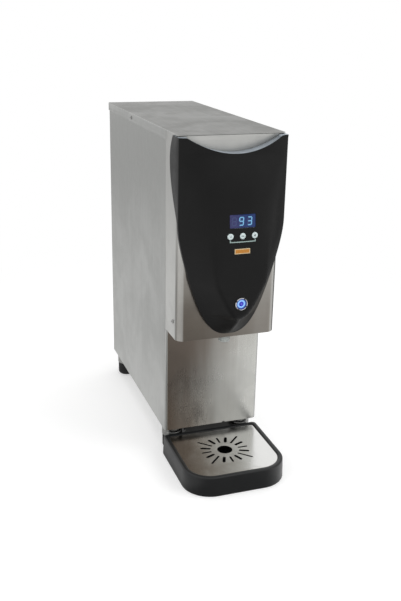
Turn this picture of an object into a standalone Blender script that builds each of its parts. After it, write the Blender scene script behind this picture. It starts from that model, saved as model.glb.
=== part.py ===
"""A narrow instant hot water dispenser: sheet-metal cabinet, bulged front shield, tank, legs and drip tray.

Metres, +Z up. X is the width, -Y is the front, and the origin is on the floor under the middle of the whole.
"""

import math

import bmesh
import bpy
from mathutils import Matrix, Vector

# Clearances shared by every piece
gap = 0.0003
overrun = 0.004

# Cabinet
cabinet_width = 0.179
cabinet_depth = 0.400
foot_clearance = 0.048
wall_height = 0.5445
sheet = 0.0012
bend_radius = 0.003
front_flange = 0.012
pan_flange = 0.014
lid_flange = 0.015
screw_radius = 0.0018
screw_length = 0.007
screw_head_radius = 0.0036
screw_head_height = 0.0018
lid_screw_back = 0.217

# Rear wall
vent_slots = 6
vent_width = 0.055
vent_height = 0.0034
vent_pitch = 0.010
vent_drop = 0.060
rear_fitting_height = 0.040
rear_fitting_inset = 0.0375

# Hood over the cup space
hood_depth = 0.0676
hood_bottom = 0.250
hood_corner_radius = 0.012
hood_pan_height = 0.040
hood_screw_height = 0.0295
hood_screw_back = 0.022

# Splash panel
splash_inset = 0.004
splash_notch_radius = 0.003
splash_notch_side = 0.025

# Front shield
shield_wall = 0.0022
shield_rim = 0.008
shield_bulge = 0.0510
shield_tip_rise = 0.010
shield_top_clear = 0.0013
shield_dip = 0.0245
shield_dip_half_width = 0.080
shield_full_width_drop = 0.136
shield_leaf_drop = 0.134
shield_leaf_peak = 0.038
shield_leaf_depth = 0.039
shield_face_top = 0.185
shield_face_crease = 0.120
shield_profile_shares = (
    (0.0, 0.0), (0.069, 0.48), (0.14, 0.90), (0.19, 0.985), (0.229, 1.0), (0.425, 0.985),
    (0.595, 0.93), (0.765, 0.81), (0.882, 0.62), (1.0, 0.30),
)
shield_upper_rows = 9
shield_row_shares = (
    0.95, 0.90, 0.83, 0.74, 0.64, 0.55, 0.46, 0.38, 0.33, 0.275, 0.22, 0.165, 0.108, 0.07, 0.04, 0.018, 0.006,
)
shield_half_columns = 7

# Controls on the shield
display_drop = 0.1252
display_width = 0.043
display_tall = 0.021
pane_thickness = 0.0022
pane_recess = 0.0006
pane_tilt = 0.09
key_drop = 0.0235
key_spacing = 0.0205
key_radius = 0.005
key_proud = 0.0008
key_cap_depth = 0.0030
key_stem_radius = 0.0024
key_travel = 0.0005
board_depth = 0.0130
board_thickness = 0.0016
board_margin = 0.010
button_rise = 0.0706
bezel_radius = 0.0107
bezel_proud = 0.0022
bezel_barrel_radius = 0.0097
bezel_bore_radius = 0.0089
bezel_barrel_length = 0.012
bezel_seat_depth = 0.0012
halo_wall = 0.0012
halo_length = 0.005
button_cap_length = 0.0065
button_travel = 0.002
switch_length = 0.016
button_nut_radius = 0.0135
button_nut_height = 0.003

# Outlet
nozzle_back = 0.0120
nozzle_radius = 0.0082
nozzle_drop = 0.0068
nozzle_bore_radius = 0.004
nozzle_stem_radius = 0.0058
nozzle_stem_length = 0.016
nozzle_nut_radius = 0.0090
nozzle_nut_height = 0.005
tube_radius = 0.005
valve_radius = 0.011
valve_length = 0.034
valve_barb_radius = 0.0058
valve_barb_length = 0.009
valve_height = 0.085
coil_width = 0.026
coil_height = 0.028

# Tank
tank_side_room = 0.0155
tank_length = 0.252
tank_front = 0.100
tank_bottom = 0.150
tank_height = 0.310
tank_corner_radius = 0.048
tank_wall = 0.0012
tank_lip = 0.007
gasket_thickness = 0.003
tank_lid_thickness = 0.003
jacket_thickness = 0.006
jacket_clear = 0.008
stand_half_width = 0.030
stand_foot = 0.016
stand_length = 0.180
heater_radius = 0.0042
heater_half_span = 0.034
heater_depth = 0.270
heater_back = 0.190
probe_radius = 0.003
probe_depth = 0.110
probe_head_radius = 0.008
probe_head_height = 0.010
probe_side = 0.030
probe_back = 0.060
vent_tube_radius = 0.004
thermostat_radius = 0.010
thermostat_height = 0.012
outlet_drop = 0.040

# Inlet at the rear
inlet_bore_radius = 0.0035
inlet_thread_radius = 0.0068
inlet_flange_radius = 0.011
inlet_flange_thickness = 0.0025
inlet_thread_length = 0.014
inlet_inner_length = 0.012

# Electrics
control_board_width = 0.110
control_board_height = 0.110
control_board_back = 0.050
control_board_lift = 0.018
relay_size = 0.016
bracket_foot = 0.020
gland_radius = 0.0100
gland_barrel_radius = 0.0078
gland_bore_radius = 0.0045
gland_proud = 0.016
gland_inside = 0.010
switch_height = 0.080
rocker_width = 0.012
rocker_tall = 0.020
rocker_thickness = 0.0045
rocker_tip = 12.0
switch_bezel_margin = 0.004
switch_bezel_thickness = 0.002
switch_body_depth = 0.020
switch_frame = 0.0016

# Legs
leg_side = 0.0225
leg_front_inset = 0.026
leg_rear_inset = 0.030
collar_radius = 0.0192
pad_radius = 0.0182
pad_height = 0.0265
pad_bottom_radius = 0.0135
pad_rounding = 0.005
stud_radius = 0.004
stud_embed = 0.018
stud_rise = 0.012

# Drip tray and grate
tray_width = 0.186
tray_front = 0.163
tray_height = 0.0372
tray_front_radius = 0.050
tray_ear_radius = 0.009
tray_hollow_radius = 0.010
tray_tongue = 0.034
tray_rounding = 0.0025
tray_draft = 0.0012
tray_edge = 0.0030
tray_ridge = 0.0045
tray_rim = 0.0100
tray_rim_drop = 0.0013
tray_ledge_drop = 0.0036
tray_ledge = 0.004
tray_recess_rear = -0.0030
tray_recess_radius = 0.016
tray_skin = 0.004
tray_floor = 0.006
grate_thickness = 0.0012
grate_hole_radius = 0.0136
grate_hole_ahead = 0.0200
slot_count = 16
slot_wide = 0.0046
slot_thin = 0.0026
slot_start = 0.0250
slot_wide_end = 0.0441
slot_long_end = 0.0546
slot_short_end = 0.0434

# Facets
round_segments = 24
leg_segments = 18
small_segments = 12
key_segments = 16
corner_steps = 5

# Places worked out from the sizes above
cabinet_half = cabinet_width / 2
wall_top = foot_clearance + wall_height
lid_half = cabinet_half + gap + sheet
shield_tip = hood_bottom + shield_tip_rise
shield_shoulder = wall_top - shield_top_clear
display_height = shield_shoulder - display_drop
key_height = display_height - key_drop
button_height = shield_tip + button_rise
tank_width = 2 * (cabinet_half - tank_side_room)
rear_fitting_side = cabinet_half - rear_fitting_inset
lid_under = wall_top + gap
lid_top = lid_under + sheet
shield_half = cabinet_half + gap + shield_wall
shield_edge_back = -hood_depth - shield_rim
pan_floor_top = foot_clearance + sheet
rear_face = cabinet_depth
nozzle_y = -hood_depth + nozzle_back
grate_centre_y = nozzle_y - grate_hole_ahead
leg_front_y = leg_front_inset
leg_rear_y = cabinet_depth - leg_rear_inset
leg_x = cabinet_half - leg_side
tray_ear_y = leg_front_y - collar_radius - 2 * gap
tray_neck_x = leg_x - collar_radius - 2 * gap
tray_rear = tray_ear_y + tray_tongue
grate_under = tray_height - tray_ledge_drop + gap
grate_top = grate_under + grate_thickness
tank_rear = tank_front + tank_length
tank_top = tank_bottom + tank_height
tank_lid_under = tank_top + gasket_thickness + 2 * gap
tank_lid_top = tank_lid_under + tank_lid_thickness
inlet_z = foot_clearance + rear_fitting_height
rear_reach = max(gland_proud, inlet_flange_thickness + gap + inlet_thread_length)
assembly_shift = (tray_front - cabinet_depth - rear_reach) / 2


def clear_scene():
    """Removes every object of the start-up scene."""
    for old in list(bpy.data.objects):
        bpy.data.objects.remove(old, do_unlink=True)


def material(name, colour, roughness, metallic=0.0):
    """A Principled material with one colour, roughness and metallic value."""
    made = bpy.data.materials.new(name)
    made.use_nodes = True
    shader = made.node_tree.nodes["Principled BSDF"]
    shader.inputs["Base Color"].default_value = (*colour, 1.0)
    shader.inputs["Roughness"].default_value = roughness
    shader.inputs["Metallic"].default_value = metallic
    return made


def place(name, bm, finish, parent, location=(0, 0, 0), cutter=False):
    """Turns a bmesh into a named object under its parent, with smooth rounds and sharp corners."""
    bmesh.ops.remove_doubles(bm, verts=bm.verts, dist=1e-6)
    bmesh.ops.recalc_face_normals(bm, faces=bm.faces)
    mesh = bpy.data.meshes.new(name)
    bm.to_mesh(mesh)
    bm.free()
    mesh.shade_smooth()
    mesh.set_sharp_from_angle(angle=math.radians(32))
    made = bpy.data.objects.new(name, mesh)
    bpy.context.scene.collection.objects.link(made)
    made.location = location
    made.parent = parent
    if cutter:
        made.hide_render = True
        made.display_type = "WIRE"
    else:
        mesh.materials.append(finish)
    return made


def boolean(target, other, operation="DIFFERENCE"):
    """Cuts other from target, or joins it, with a live modifier."""
    change = target.modifiers.new(other.name, "BOOLEAN")
    change.object = other
    change.operation = operation
    return target


def anchor(name, location, parent=None):
    """An empty that carries pieces."""
    made = bpy.data.objects.new(name, None)
    bpy.context.scene.collection.objects.link(made)
    made.location = location
    made.parent = parent
    return made


def loft(loops):
    """A closed body through loops of equal length, with flat ends."""
    bm = bmesh.new()
    rings = [[bm.verts.new(point) for point in loop] for loop in loops]
    count = len(rings[0])
    bm.faces.new(rings[0])
    bm.faces.new(rings[-1])
    for lower, upper in zip(rings, rings[1:]):
        for k in range(count):
            after = (k + 1) % count
            bm.faces.new((lower[k], lower[after], upper[after], upper[k]))
    return bm


def band(loops):
    """A closed body through loops of equal length whose last loop meets the first, as in a sleeve."""
    bm = bmesh.new()
    rings = [[bm.verts.new(point) for point in loop] for loop in loops]
    count = len(rings[0])
    for lower, upper in zip(rings, rings[1:] + rings[:1]):
        for k in range(count):
            after = (k + 1) % count
            bm.faces.new((lower[k], lower[after], upper[after], upper[k]))
    return bm


def at_height(outline, height):
    """A flat outline in X and Y, lifted to a height."""
    return [(x, y, height) for x, y in outline]


def prism(outline, low, high, axis="Z"):
    """A flat outline pushed out along an axis: Z for X and Y outlines, Y for X and Z, X for Y and Z."""
    places = {
        "Z": lambda a, b, along: (a, b, along),
        "Y": lambda a, b, along: (a, along, b),
        "X": lambda a, b, along: (along, a, b),
    }
    return loft([[places[axis](a, b, along) for a, b in outline] for along in (low, high)])


def block(low, high):
    """A box between two corners."""
    outline = [(low[0], low[1]), (high[0], low[1]), (high[0], high[1]), (low[0], high[1])]
    return prism(outline, low[2], high[2])


def rounded_plan(corners, inset=0.0, steps=corner_steps):
    """A square-cornered plan of (x, y, radius) corners, anticlockwise, rounded and drawn in by inset."""
    points = []
    for k, (x, y, radius) in enumerate(corners):
        before, after = corners[k - 1], corners[(k + 1) % len(corners)]
        along = Vector((x - before[0], y - before[1])).normalized()
        onward = Vector((after[0] - x, after[1] - y)).normalized()
        inward = Vector((-along.y, along.x)) + Vector((-onward.y, onward.x))
        hollow = -1 if along.x * onward.y - along.y * onward.x < 0 else 1
        size = max(radius - hollow * inset, gap)
        centre = Vector((x, y)) + inward * (inset + hollow * size)
        for step in range(steps + 1):
            turn = hollow * math.pi / 2 * step / steps
            spoke = Matrix.Rotation(turn, 2) @ Vector((along.y, -along.x)) * hollow
            points.append(tuple(centre + spoke * size))
    return points


def rounded(low, high, radii, inset=0.0, steps=corner_steps):
    """A rectangle with its own radius at each corner, from front left anticlockwise, drawn in by inset."""
    places = ((low[0], low[1]), (high[0], low[1]), (high[0], high[1]), (low[0], high[1]))
    return rounded_plan([(x, y, radius) for (x, y), radius in zip(places, radii)], inset, steps)


def circle(radius, segments, centre=(0, 0)):
    """Points round a circle."""
    turn = 2 * math.pi / segments
    return [
        (centre[0] + radius * math.cos(k * turn), centre[1] + radius * math.sin(k * turn))
        for k in range(segments)
    ]


def turned(profile, segments, axis="Z", closed=False):
    """A profile of (radius, along) points turned about an axis. It starts and ends on the axis, or closes on itself."""
    bm = bmesh.new()
    rings = []
    for radius, along in profile:
        if radius <= 0:
            rings.append([bm.verts.new((0, 0, along))])
        else:
            rings.append([bm.verts.new((x, y, along)) for x, y in circle(radius, segments)])
    for lower, upper in zip(rings, rings[1:] + (rings[:1] if closed else [])):
        for k in range(segments):
            after = (k + 1) % segments
            if len(lower) == 1:
                bm.faces.new((lower[0], upper[after], upper[k]))
            elif len(upper) == 1:
                bm.faces.new((lower[k], lower[after], upper[0]))
            else:
                bm.faces.new((lower[k], lower[after], upper[after], upper[k]))
    turns = {"X": Matrix.Rotation(math.pi / 2, 4, "Y"), "Y": Matrix.Rotation(-math.pi / 2, 4, "X")}
    if axis in turns:
        bmesh.ops.transform(bm, matrix=turns[axis], verts=bm.verts)
    return bm


def hex_nut(outer, bore, low, high, axis="Z"):
    """A six-sided nut with a round bore, along an axis."""
    flat = outer * math.cos(math.pi / 6)
    hexagon = []
    for k in range(round_segments):
        angle = 2 * math.pi * k / round_segments
        reach = flat / math.cos((angle + math.pi / 6) % (math.pi / 3) - math.pi / 6)
        hexagon.append((reach * math.cos(angle), reach * math.sin(angle)))
    hole = circle(bore, round_segments)
    bm = band([at_height(hexagon, low), at_height(hexagon, high), at_height(hole, high), at_height(hole, low)])
    if axis == "Y":
        bmesh.ops.transform(bm, matrix=Matrix.Rotation(-math.pi / 2, 4, "X"), verts=bm.verts)
    return bm


def bent_strip(path, thickness, radius, steps=4):
    """The closed outline of a sheet bent along a path. The sheet lies on the left of the path."""
    points = [Vector(point) for point in path]
    outer, inner = [], []
    for k, point in enumerate(points):
        before = (point - points[max(k - 1, 0)]).normalized() if k else (points[1] - point).normalized()
        after = (points[k + 1] - point).normalized() if k + 1 < len(points) else before
        left = Vector((-before.y, before.x))
        turn = math.atan2(before.x * after.y - before.y * after.x, before.dot(after))
        if abs(turn) < math.radians(1):
            outer.append(point)
            inner.append(point + left * thickness)
            continue
        side = math.copysign(1, turn)
        centre = point - before * radius * math.tan(abs(turn) / 2) + left * side * radius
        for step in range(steps + 1):
            spoke = Matrix.Rotation(turn * step / steps, 2) @ (left * -side)
            outer.append(centre + spoke * radius)
            inner.append(centre + spoke * (radius - side * thickness))
    return [tuple(point) for point in outer + inner[::-1]]


def piped(name, points, radius, finish, parent, segments_bevel=2):
    """A tube along a smooth line through points, with flat ends."""
    curve = bpy.data.curves.new(name, "CURVE")
    curve.dimensions = "3D"
    curve.bevel_depth = radius
    curve.bevel_resolution = segments_bevel
    curve.use_fill_caps = True
    line = curve.splines.new("POLY")
    smooth = smooth_line([Vector(point) for point in points], radius)
    line.points.add(len(smooth) - 1)
    for target, point in zip(line.points, smooth):
        target.co = (*point, 1)
    curve.materials.append(finish)
    made = bpy.data.objects.new(name, curve)
    bpy.context.scene.collection.objects.link(made)
    made.parent = parent
    return made


def smooth_line(points, radius):
    """Points along a run whose corners are eased into arcs of three radii or what the shorter leg allows."""
    line = [points[0]]
    for before, corner, after in zip(points, points[1:], points[2:]):
        to_before, to_after = before - corner, after - corner
        reach = min(4 * radius, to_before.length / 2.1, to_after.length / 2.1)
        start, end = corner + to_before.normalized() * reach, corner + to_after.normalized() * reach
        for step in range(5):
            share = step / 4
            line.append(start.lerp(corner, share).lerp(corner.lerp(end, share), share))
    return line + [points[-1]]


# Front shield: the surface that carries the controls


def slope(table, row):
    """The slope at a row of a table of (place, value) pairs, from the rows beside it."""
    low, high = table[max(row - 1, 0)], table[min(row + 1, len(table) - 1)]
    return (high[1] - low[1]) / (high[0] - low[0])


def between(table, place):
    """The value that a table of (place, value) pairs gives at a place, on a smooth line through its rows."""
    for row, ((low, start), (high, end)) in enumerate(zip(table, table[1:])):
        if place <= high:
            width = high - low
            share = (place - low) / width
            rise = share**2 * (3 - 2 * share)
            lean_in = share * (1 - share) ** 2 * width * slope(table, row)
            lean_out = share**2 * (1 - share) * width * slope(table, row + 1)
            return start + (end - start) * rise + lean_in - lean_out
    return table[-1][1]


def shield_crown(height):
    """How far the middle of the shield stands ahead of its edge at a height."""
    top = shield_shoulder - shield_dip
    share = (height - shield_tip) / (top - shield_tip)
    return shield_bulge * between(shield_profile_shares, min(max(share, 0.0), 1.0))


def shield_front(x, height, half):
    """The Y of the shield's front face at a place, for a shield that is half as wide as given there."""
    side = min(abs(x) / max(half, gap), 1.0)
    dome = 1 - side**2.8
    face_top = shield_tip + shield_face_top
    face_low = shield_tip + shield_face_crease
    crease = min(max((face_top - height) / (face_top - face_low), 0.0), 1.0)
    narrowing = min(max((height - shield_tip) / shield_face_crease - 0.33, 0.0) / 0.5, 1.0)
    flat = 0.56 * math.sqrt(narrowing)
    ramp = min((1 - side) / (1 - flat), 1.0)
    raised = (1 - crease) * dome + crease * ramp
    return shield_edge_back - shield_crown(height) * raised


def shield_half_at(height, inset):
    """Half the shield's width at a height, narrowing to the tip."""
    low = shield_tip + inset
    full = shield_shoulder - shield_full_width_drop
    share = min(max((height - low) / (full - low), 0.0), 1.0)
    return (shield_half - inset) * share**0.38


def shield_top_at(x, inset):
    """The height of the shield's concave top edge."""
    share = min(abs(x) / shield_dip_half_width, 1.0)
    return shield_shoulder - shield_dip * (1 - share**2) - inset


def shield_back(height, leaf):
    """The Y where the shield's rim ends: ahead of the hood, or along its side as a leaf."""
    leaf_low = shield_shoulder - shield_leaf_drop
    leaf_peak = shield_shoulder - shield_leaf_peak
    if not leaf or height <= leaf_low:
        return -hood_depth - gap
    if height <= leaf_peak:
        rise = (height - leaf_low) / (leaf_peak - leaf_low)
        depth = shield_leaf_depth * math.sin(rise * math.pi / 2)
    else:
        depth = shield_leaf_depth * math.cos(0.9 * (height - leaf_peak) / shield_leaf_peak)
    return -hood_depth + depth


def shield_columns(inset):
    """Places across the shield as shares of its half width, with one narrow step where a leaf starts."""
    half = shield_half - inset
    step = gap / 3
    leaf_start = shield_half - shield_wall - step * (inset > 0)
    even = (leaf_start - step) / half
    side = [even * k / shield_half_columns for k in range(1, shield_half_columns + 1)] + [leaf_start / half, 1.0]
    return [-share for share in reversed(side)] + [0.0] + side


def shield_grid(inset):
    """Rows of (x, y, z) points over the shield's face, from the top to the tip."""
    full = shield_shoulder - shield_full_width_drop
    columns = shield_columns(inset)
    rows = []
    for row in range(shield_upper_rows + 1):
        share = row / shield_upper_rows
        points = []
        for column in columns:
            x = column * (shield_half - inset)
            height = shield_top_at(x, inset) * (1 - share) + full * share
            points.append((x, shield_front(x, height, shield_half - inset) + inset, height))
        rows.append(points)
    for share in shield_row_shares:
        height = shield_tip + inset + (full - shield_tip - inset) * share
        half = shield_half_at(height, inset)
        rows.append(
            [(column * half, shield_front(column * half, height, half) + inset, height) for column in columns]
        )
    rows.append([(0, shield_edge_back + inset, shield_tip + inset)])
    return rows


def shield_border(rows):
    """The grid's outer points, once round from the top left, each with whether a leaf may start there."""
    top = [(vert, k < 2 or k >= len(rows[0]) - 2) for k, vert in enumerate(rows[0])]
    left = [(row[0], True) for row in rows[1:-1]]
    right = [(row[-1], True) for row in rows[1:-1]]
    return top + right + [(rows[-1][0], False)] + left[::-1]


def add_face(bm, verts):
    """A face over the corners that differ."""
    different = list(dict.fromkeys(verts))
    if len(different) > 2:
        bm.faces.new(different)


def shield_body():
    """The moulded shell: face, rim, side leaves and hollow back as one closed body."""
    bm = bmesh.new()
    borders = []
    for inset in (0.0, shield_wall):
        rows = shield_grid(inset)
        verts = [[bm.verts.new(point) for point in row] for row in rows]
        for upper, lower in zip(verts, verts[1:]):
            for k in range(len(upper) - 1):
                low_a = lower[min(k, len(lower) - 1)]
                low_b = lower[min(k + 1, len(lower) - 1)]
                add_face(bm, (upper[k], upper[k + 1], low_b, low_a))
        borders.append(shield_border(verts))
    rings_front, rings_back = [], []
    for border in borders:
        rings_front.append([vert for vert, leaf in border])
        ends = [(vert.co.x, shield_back(vert.co.z, leaf), vert.co.z) for vert, leaf in border]
        rings_back.append([bm.verts.new(end) for end in ends])
    outer, inner = rings_front
    outer_back, inner_back = rings_back
    rings = (outer, outer_back, inner_back, inner)
    for near, far in zip(rings, rings[1:]):
        for k in range(len(near)):
            after = (k + 1) % len(near)
            add_face(bm, (near[k], near[after], far[after], far[k]))
    return bm


def screw(name, location, side, finish, parent):
    """A pan-head screw along X, its head outside the given side."""
    head = screw_head_height * side
    profile = (
        (0, head),
        (screw_head_radius * 0.55, head),
        (screw_head_radius, head * 0.4),
        (screw_head_radius, 0),
        (screw_radius, 0),
        (screw_radius, -screw_length * side),
        (0, -screw_length * side),
    )
    return place(name, turned(profile, small_segments, "X"), finish, parent, location)


def side_hole(name, height, back, parent):
    """A cutter through both sides of the casing for a pair of screws."""
    reach = lid_half + overrun
    hole = turned(
        ((0, -reach), (screw_radius + gap, -reach), (screw_radius + gap, reach), (0, reach)),
        small_segments,
        "X",
    )
    return place(name, hole, None, parent, (0, back, height), cutter=True)


def rear_hole(name, radius, x, height, parent):
    """A round cutter through the rear wall."""
    hole = turned(((0, -overrun), (radius, -overrun), (radius, overrun), (0, overrun)), round_segments, "Y")
    return place(name, hole, None, parent, (x, rear_face, height), cutter=True)


def upright_hole(name, radius, x, y, low, high, parent, segments=small_segments):
    """A round cutter along Z."""
    hole = turned(((0, low), (radius, low), (radius, high), (0, high)), segments)
    return place(name, hole, None, parent, (x, y, 0), cutter=True)


def build_casing(steel, dark_steel, parent):
    """The folded wrapper, base pan, lid, hood, hood floor and splash panel, with their screws."""
    half = cabinet_half
    wrap = bent_strip(
        [
            (half - front_flange, 0),
            (half, 0),
            (half, cabinet_depth),
            (-half, cabinet_depth),
            (-half, 0),
            (-half + front_flange, 0),
        ],
        sheet,
        bend_radius,
    )
    wrapper = place("body_wrapper", prism(wrap, foot_clearance, wall_top), steel, parent)

    inner = half - sheet - gap
    low = (-inner, sheet + gap)
    high = (inner, cabinet_depth - sheet - gap)
    radii = [bend_radius] * 4
    outline = rounded(low, high, radii, steps=2)
    inside = rounded(low, high, radii, sheet, steps=2)
    pan = place(
        "base_pan",
        loft(
            [
                at_height(outline, foot_clearance),
                at_height(outline, foot_clearance + pan_flange),
                at_height(inside, foot_clearance + pan_flange),
                at_height(inside, pan_floor_top),
            ]
        ),
        dark_steel,
        parent,
    )

    low = (-lid_half, -hood_depth)
    high = (lid_half, cabinet_depth + gap + sheet)
    outline = rounded(low, high, radii, steps=3)
    inside = rounded(low, high, radii, sheet, steps=3)
    brim = rounded(low, high, radii, sheet / 2, steps=3)
    flange_low = lid_top - lid_flange
    lid = place(
        "lid",
        loft(
            [
                at_height(brim, lid_top),
                at_height(outline, lid_top - sheet / 2),
                at_height(outline, flange_low),
                at_height(inside, flange_low),
                at_height(inside, lid_under),
            ]
        ),
        steel,
        parent,
    )
    front_clear = block(
        (-lid_half - overrun, -hood_depth - overrun, flange_low - overrun),
        (lid_half + overrun, 0, lid_under),
    )
    boolean(lid, place("lid_front_cutter", front_clear, None, parent, cutter=True))

    hood = place("hood", prism(hood_outline(), hood_bottom, wall_top), steel, parent)

    inner_radius = hood_corner_radius - sheet - gap
    low = (-inner, -hood_depth + sheet + gap)
    high = (inner, -sheet - 3 * gap)
    radii = [inner_radius, inner_radius, bend_radius, bend_radius]
    outline = rounded(low, high, radii)
    inside = rounded(low, high, radii, sheet)
    floor = place(
        "hood_floor",
        loft(
            [
                at_height(outline, hood_bottom),
                at_height(outline, hood_bottom + hood_pan_height),
                at_height(inside, hood_bottom + hood_pan_height),
                at_height(inside, hood_bottom + sheet),
            ]
        ),
        dark_steel,
        parent,
    )
    nozzle_hole = upright_hole(
        "nozzle_hole_cutter",
        nozzle_stem_radius + gap,
        0,
        nozzle_y,
        hood_bottom - overrun,
        hood_bottom + sheet + overrun,
        parent,
        round_segments,
    )
    boolean(floor, nozzle_hole)

    panel = block(
        (-half + splash_inset, -sheet - gap, foot_clearance + gap),
        (half - splash_inset, -gap, hood_bottom + hood_pan_height),
    )
    splash = place("splash_panel", panel, steel, parent)
    notch = turned(
        (
            (0, -overrun),
            (splash_notch_radius, -overrun),
            (splash_notch_radius, overrun),
            (0, overrun),
        ),
        small_segments,
        "Y",
    )
    notch_place = (splash_notch_side, 0, foot_clearance)
    boolean(splash, place("splash_notch_cutter", notch, None, parent, notch_place, cutter=True))

    lid_screw_height = lid_top - sheet - (lid_flange - sheet) / 2
    hood_screw_y = -hood_screw_back * 2
    hood_screw_z = hood_bottom + hood_screw_height
    lid_holes = side_hole("lid_screw_cutter", lid_screw_height, lid_screw_back, parent)
    hood_holes = side_hole("hood_screw_cutter", hood_screw_z, hood_screw_y, parent)
    for piece in (lid, wrapper):
        boolean(piece, lid_holes)
    for piece in (hood, floor):
        boolean(piece, hood_holes)
    for side, word in ((-1, "left"), (1, "right")):
        x = side * (lid_half + gap)
        screw(f"lid_screw_{word}", (x, lid_screw_back, lid_screw_height), side, dark_steel, parent)
        x = side * (half + gap)
        screw(f"hood_screw_{word}", (x, hood_screw_y, hood_screw_z), side, dark_steel, parent)
    return wrapper, pan


def hood_outline():
    """The hood's plan: sides, rounded front corners and front, with the sheet inside."""
    half = cabinet_half
    return bent_strip(
        [(-half, -gap), (-half, -hood_depth), (half, -hood_depth), (half, -gap)],
        sheet,
        hood_corner_radius,
        6,
    )


def build_shield(black, parent):
    """The moulded shield with openings for the pane, the keys and the button."""
    shield = place("front_shield", shield_body(), black, parent)
    cutters = []
    width = display_width / 2 + gap
    tall = display_tall / 2 + gap
    window = block((-width, -overrun, -tall), (width, 2 * overrun, tall))
    centre = (0, shield_front(0, display_height, shield_half), display_height)
    window_cutter = place("window_cutter", window, None, parent, centre, cutter=True)
    window_cutter.rotation_euler.x = -pane_tilt
    cutters.append(window_cutter)
    for k in (-1, 0, 1):
        radius = key_radius + gap
        hole = turned(
            ((0, -overrun), (radius, -overrun), (radius, 2 * overrun), (0, 2 * overrun)),
            key_segments,
            "Y",
        )
        x = k * key_spacing
        spot = (x, shield_front(x, key_height, shield_half), key_height)
        cutters.append(place(f"key_cutter_{k + 2}", hole, None, parent, spot, cutter=True))
    seat = bezel_seat_depth
    hole = turned(
        (
            (0, -overrun),
            (bezel_radius + gap, -overrun),
            (bezel_radius + gap, seat),
            (bezel_barrel_radius + gap, seat),
            (bezel_barrel_radius + gap, 2 * overrun),
            (0, 2 * overrun),
        ),
        round_segments,
        "Y",
    )
    spot = (0, shield_front(0, button_height, shield_half), button_height)
    cutters.append(place("button_cutter", hole, None, parent, spot, cutter=True))
    for cutter in cutters:
        boolean(shield, cutter)


def build_controls(looks, parent):
    """Display pane and board, the three keys and the lit dispense button."""
    pane_y = shield_front(0, display_height, shield_half) + pane_recess
    pane = block(
        (-display_width / 2, 0, -display_tall / 2),
        (display_width / 2, pane_thickness, display_tall / 2),
    )
    window = place("display_window", pane, looks["pane"], parent, (0, pane_y, display_height))
    window.rotation_euler.x = -pane_tilt

    key_y = shield_front(key_spacing, key_height, shield_half) - key_proud
    board_y = shield_front(0, display_height, shield_half) + board_depth
    board_low = key_height - key_radius - board_margin / 2
    board_high = display_height + display_tall / 2
    board_half = key_spacing + key_radius + board_margin / 2
    board = block((-board_half, board_y, board_low), (board_half, board_y + board_thickness, board_high))
    board_piece = place("display_board", board, looks["board"], parent)
    tilt_reach = display_tall / 2 * math.sin(pane_tilt)
    module_front = pane_y + pane_thickness + tilt_reach + gap
    module_half = display_width / 2 - sheet
    module_tall = display_tall / 2 - sheet * 2
    module = block(
        (-module_half, module_front, display_height - module_tall),
        (module_half, board_y + board_thickness / 2, display_height + module_tall),
    )
    module_piece = place("display_module_joiner", module, None, parent, cutter=True)
    boolean(board_piece, module_piece, "UNION")

    stem = board_y - key_travel - gap - key_y
    for k, name in ((-1, "key_minus"), (0, "key_set"), (1, "key_plus")):
        profile = (
            (0, 0),
            (key_radius * 0.55, gap / 3),
            (key_radius * 0.88, gap),
            (key_radius, gap * 2),
            (key_radius, key_cap_depth),
            (key_stem_radius, key_cap_depth),
            (key_stem_radius, stem),
            (0, stem),
        )
        body = anchor(f"{name}_body", (k * key_spacing, key_y, key_height), parent)
        place(name, turned(profile, key_segments, "Y"), looks["key"], body)

    face = shield_front(0, button_height, shield_half)
    seat = face + bezel_seat_depth - gap
    bezel = turned(
        (
            (bezel_bore_radius, face - bezel_proud - seat),
            (bezel_radius - bezel_proud * 0.4, face - bezel_proud - seat),
            (bezel_radius, face - bezel_proud * 0.6 - seat),
            (bezel_radius, 0),
            (bezel_barrel_radius, 0),
            (bezel_barrel_radius, bezel_barrel_length),
            (bezel_bore_radius, bezel_barrel_length),
        ),
        round_segments,
        "Y",
        closed=True,
    )
    place("button_bezel", bezel, looks["chrome"], parent, (0, seat, button_height))

    halo_outer = bezel_bore_radius - gap
    halo_inner = halo_outer - halo_wall
    lip = bezel_proud * 0.6
    halo = turned(
        ((halo_inner, -lip), (halo_outer, -lip), (halo_outer, halo_length), (halo_inner, halo_length)),
        round_segments,
        "Y",
        closed=True,
    )
    place("button_halo", halo, looks["halo"], parent, (0, face, button_height))

    cap_radius = halo_inner - gap
    cap_front = -bezel_proud * 0.45
    cap = turned(
        (
            (0, cap_front + gap * 2),
            (cap_radius * 0.6, cap_front + gap),
            (cap_radius * 0.94, cap_front),
            (cap_radius, cap_front + gap * 2),
            (cap_radius, button_cap_length),
            (0, button_cap_length),
        ),
        round_segments,
        "Y",
    )
    body = anchor("dispense_button_body", (0, face, button_height), parent)
    place("button_cap", cap, looks["button"], body)

    switch_start = button_cap_length + button_travel + gap
    switch = turned(
        (
            (0, switch_start),
            (halo_outer, switch_start),
            (halo_outer, switch_start + switch_length),
            (0, switch_start + switch_length),
        ),
        round_segments,
        "Y",
    )
    place("button_switch_body", switch, looks["plastic"], parent, (0, face, button_height))
    nut_back = shield_front(0, button_height - button_nut_radius, shield_half)
    nut_start = nut_back - face + shield_wall + gap * 2
    nut_end = nut_start + button_nut_height
    nut = hex_nut(button_nut_radius, bezel_barrel_radius + gap, nut_start, nut_end, "Y")
    place("button_nut", nut, looks["chrome"], parent, (0, face, button_height))


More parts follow.
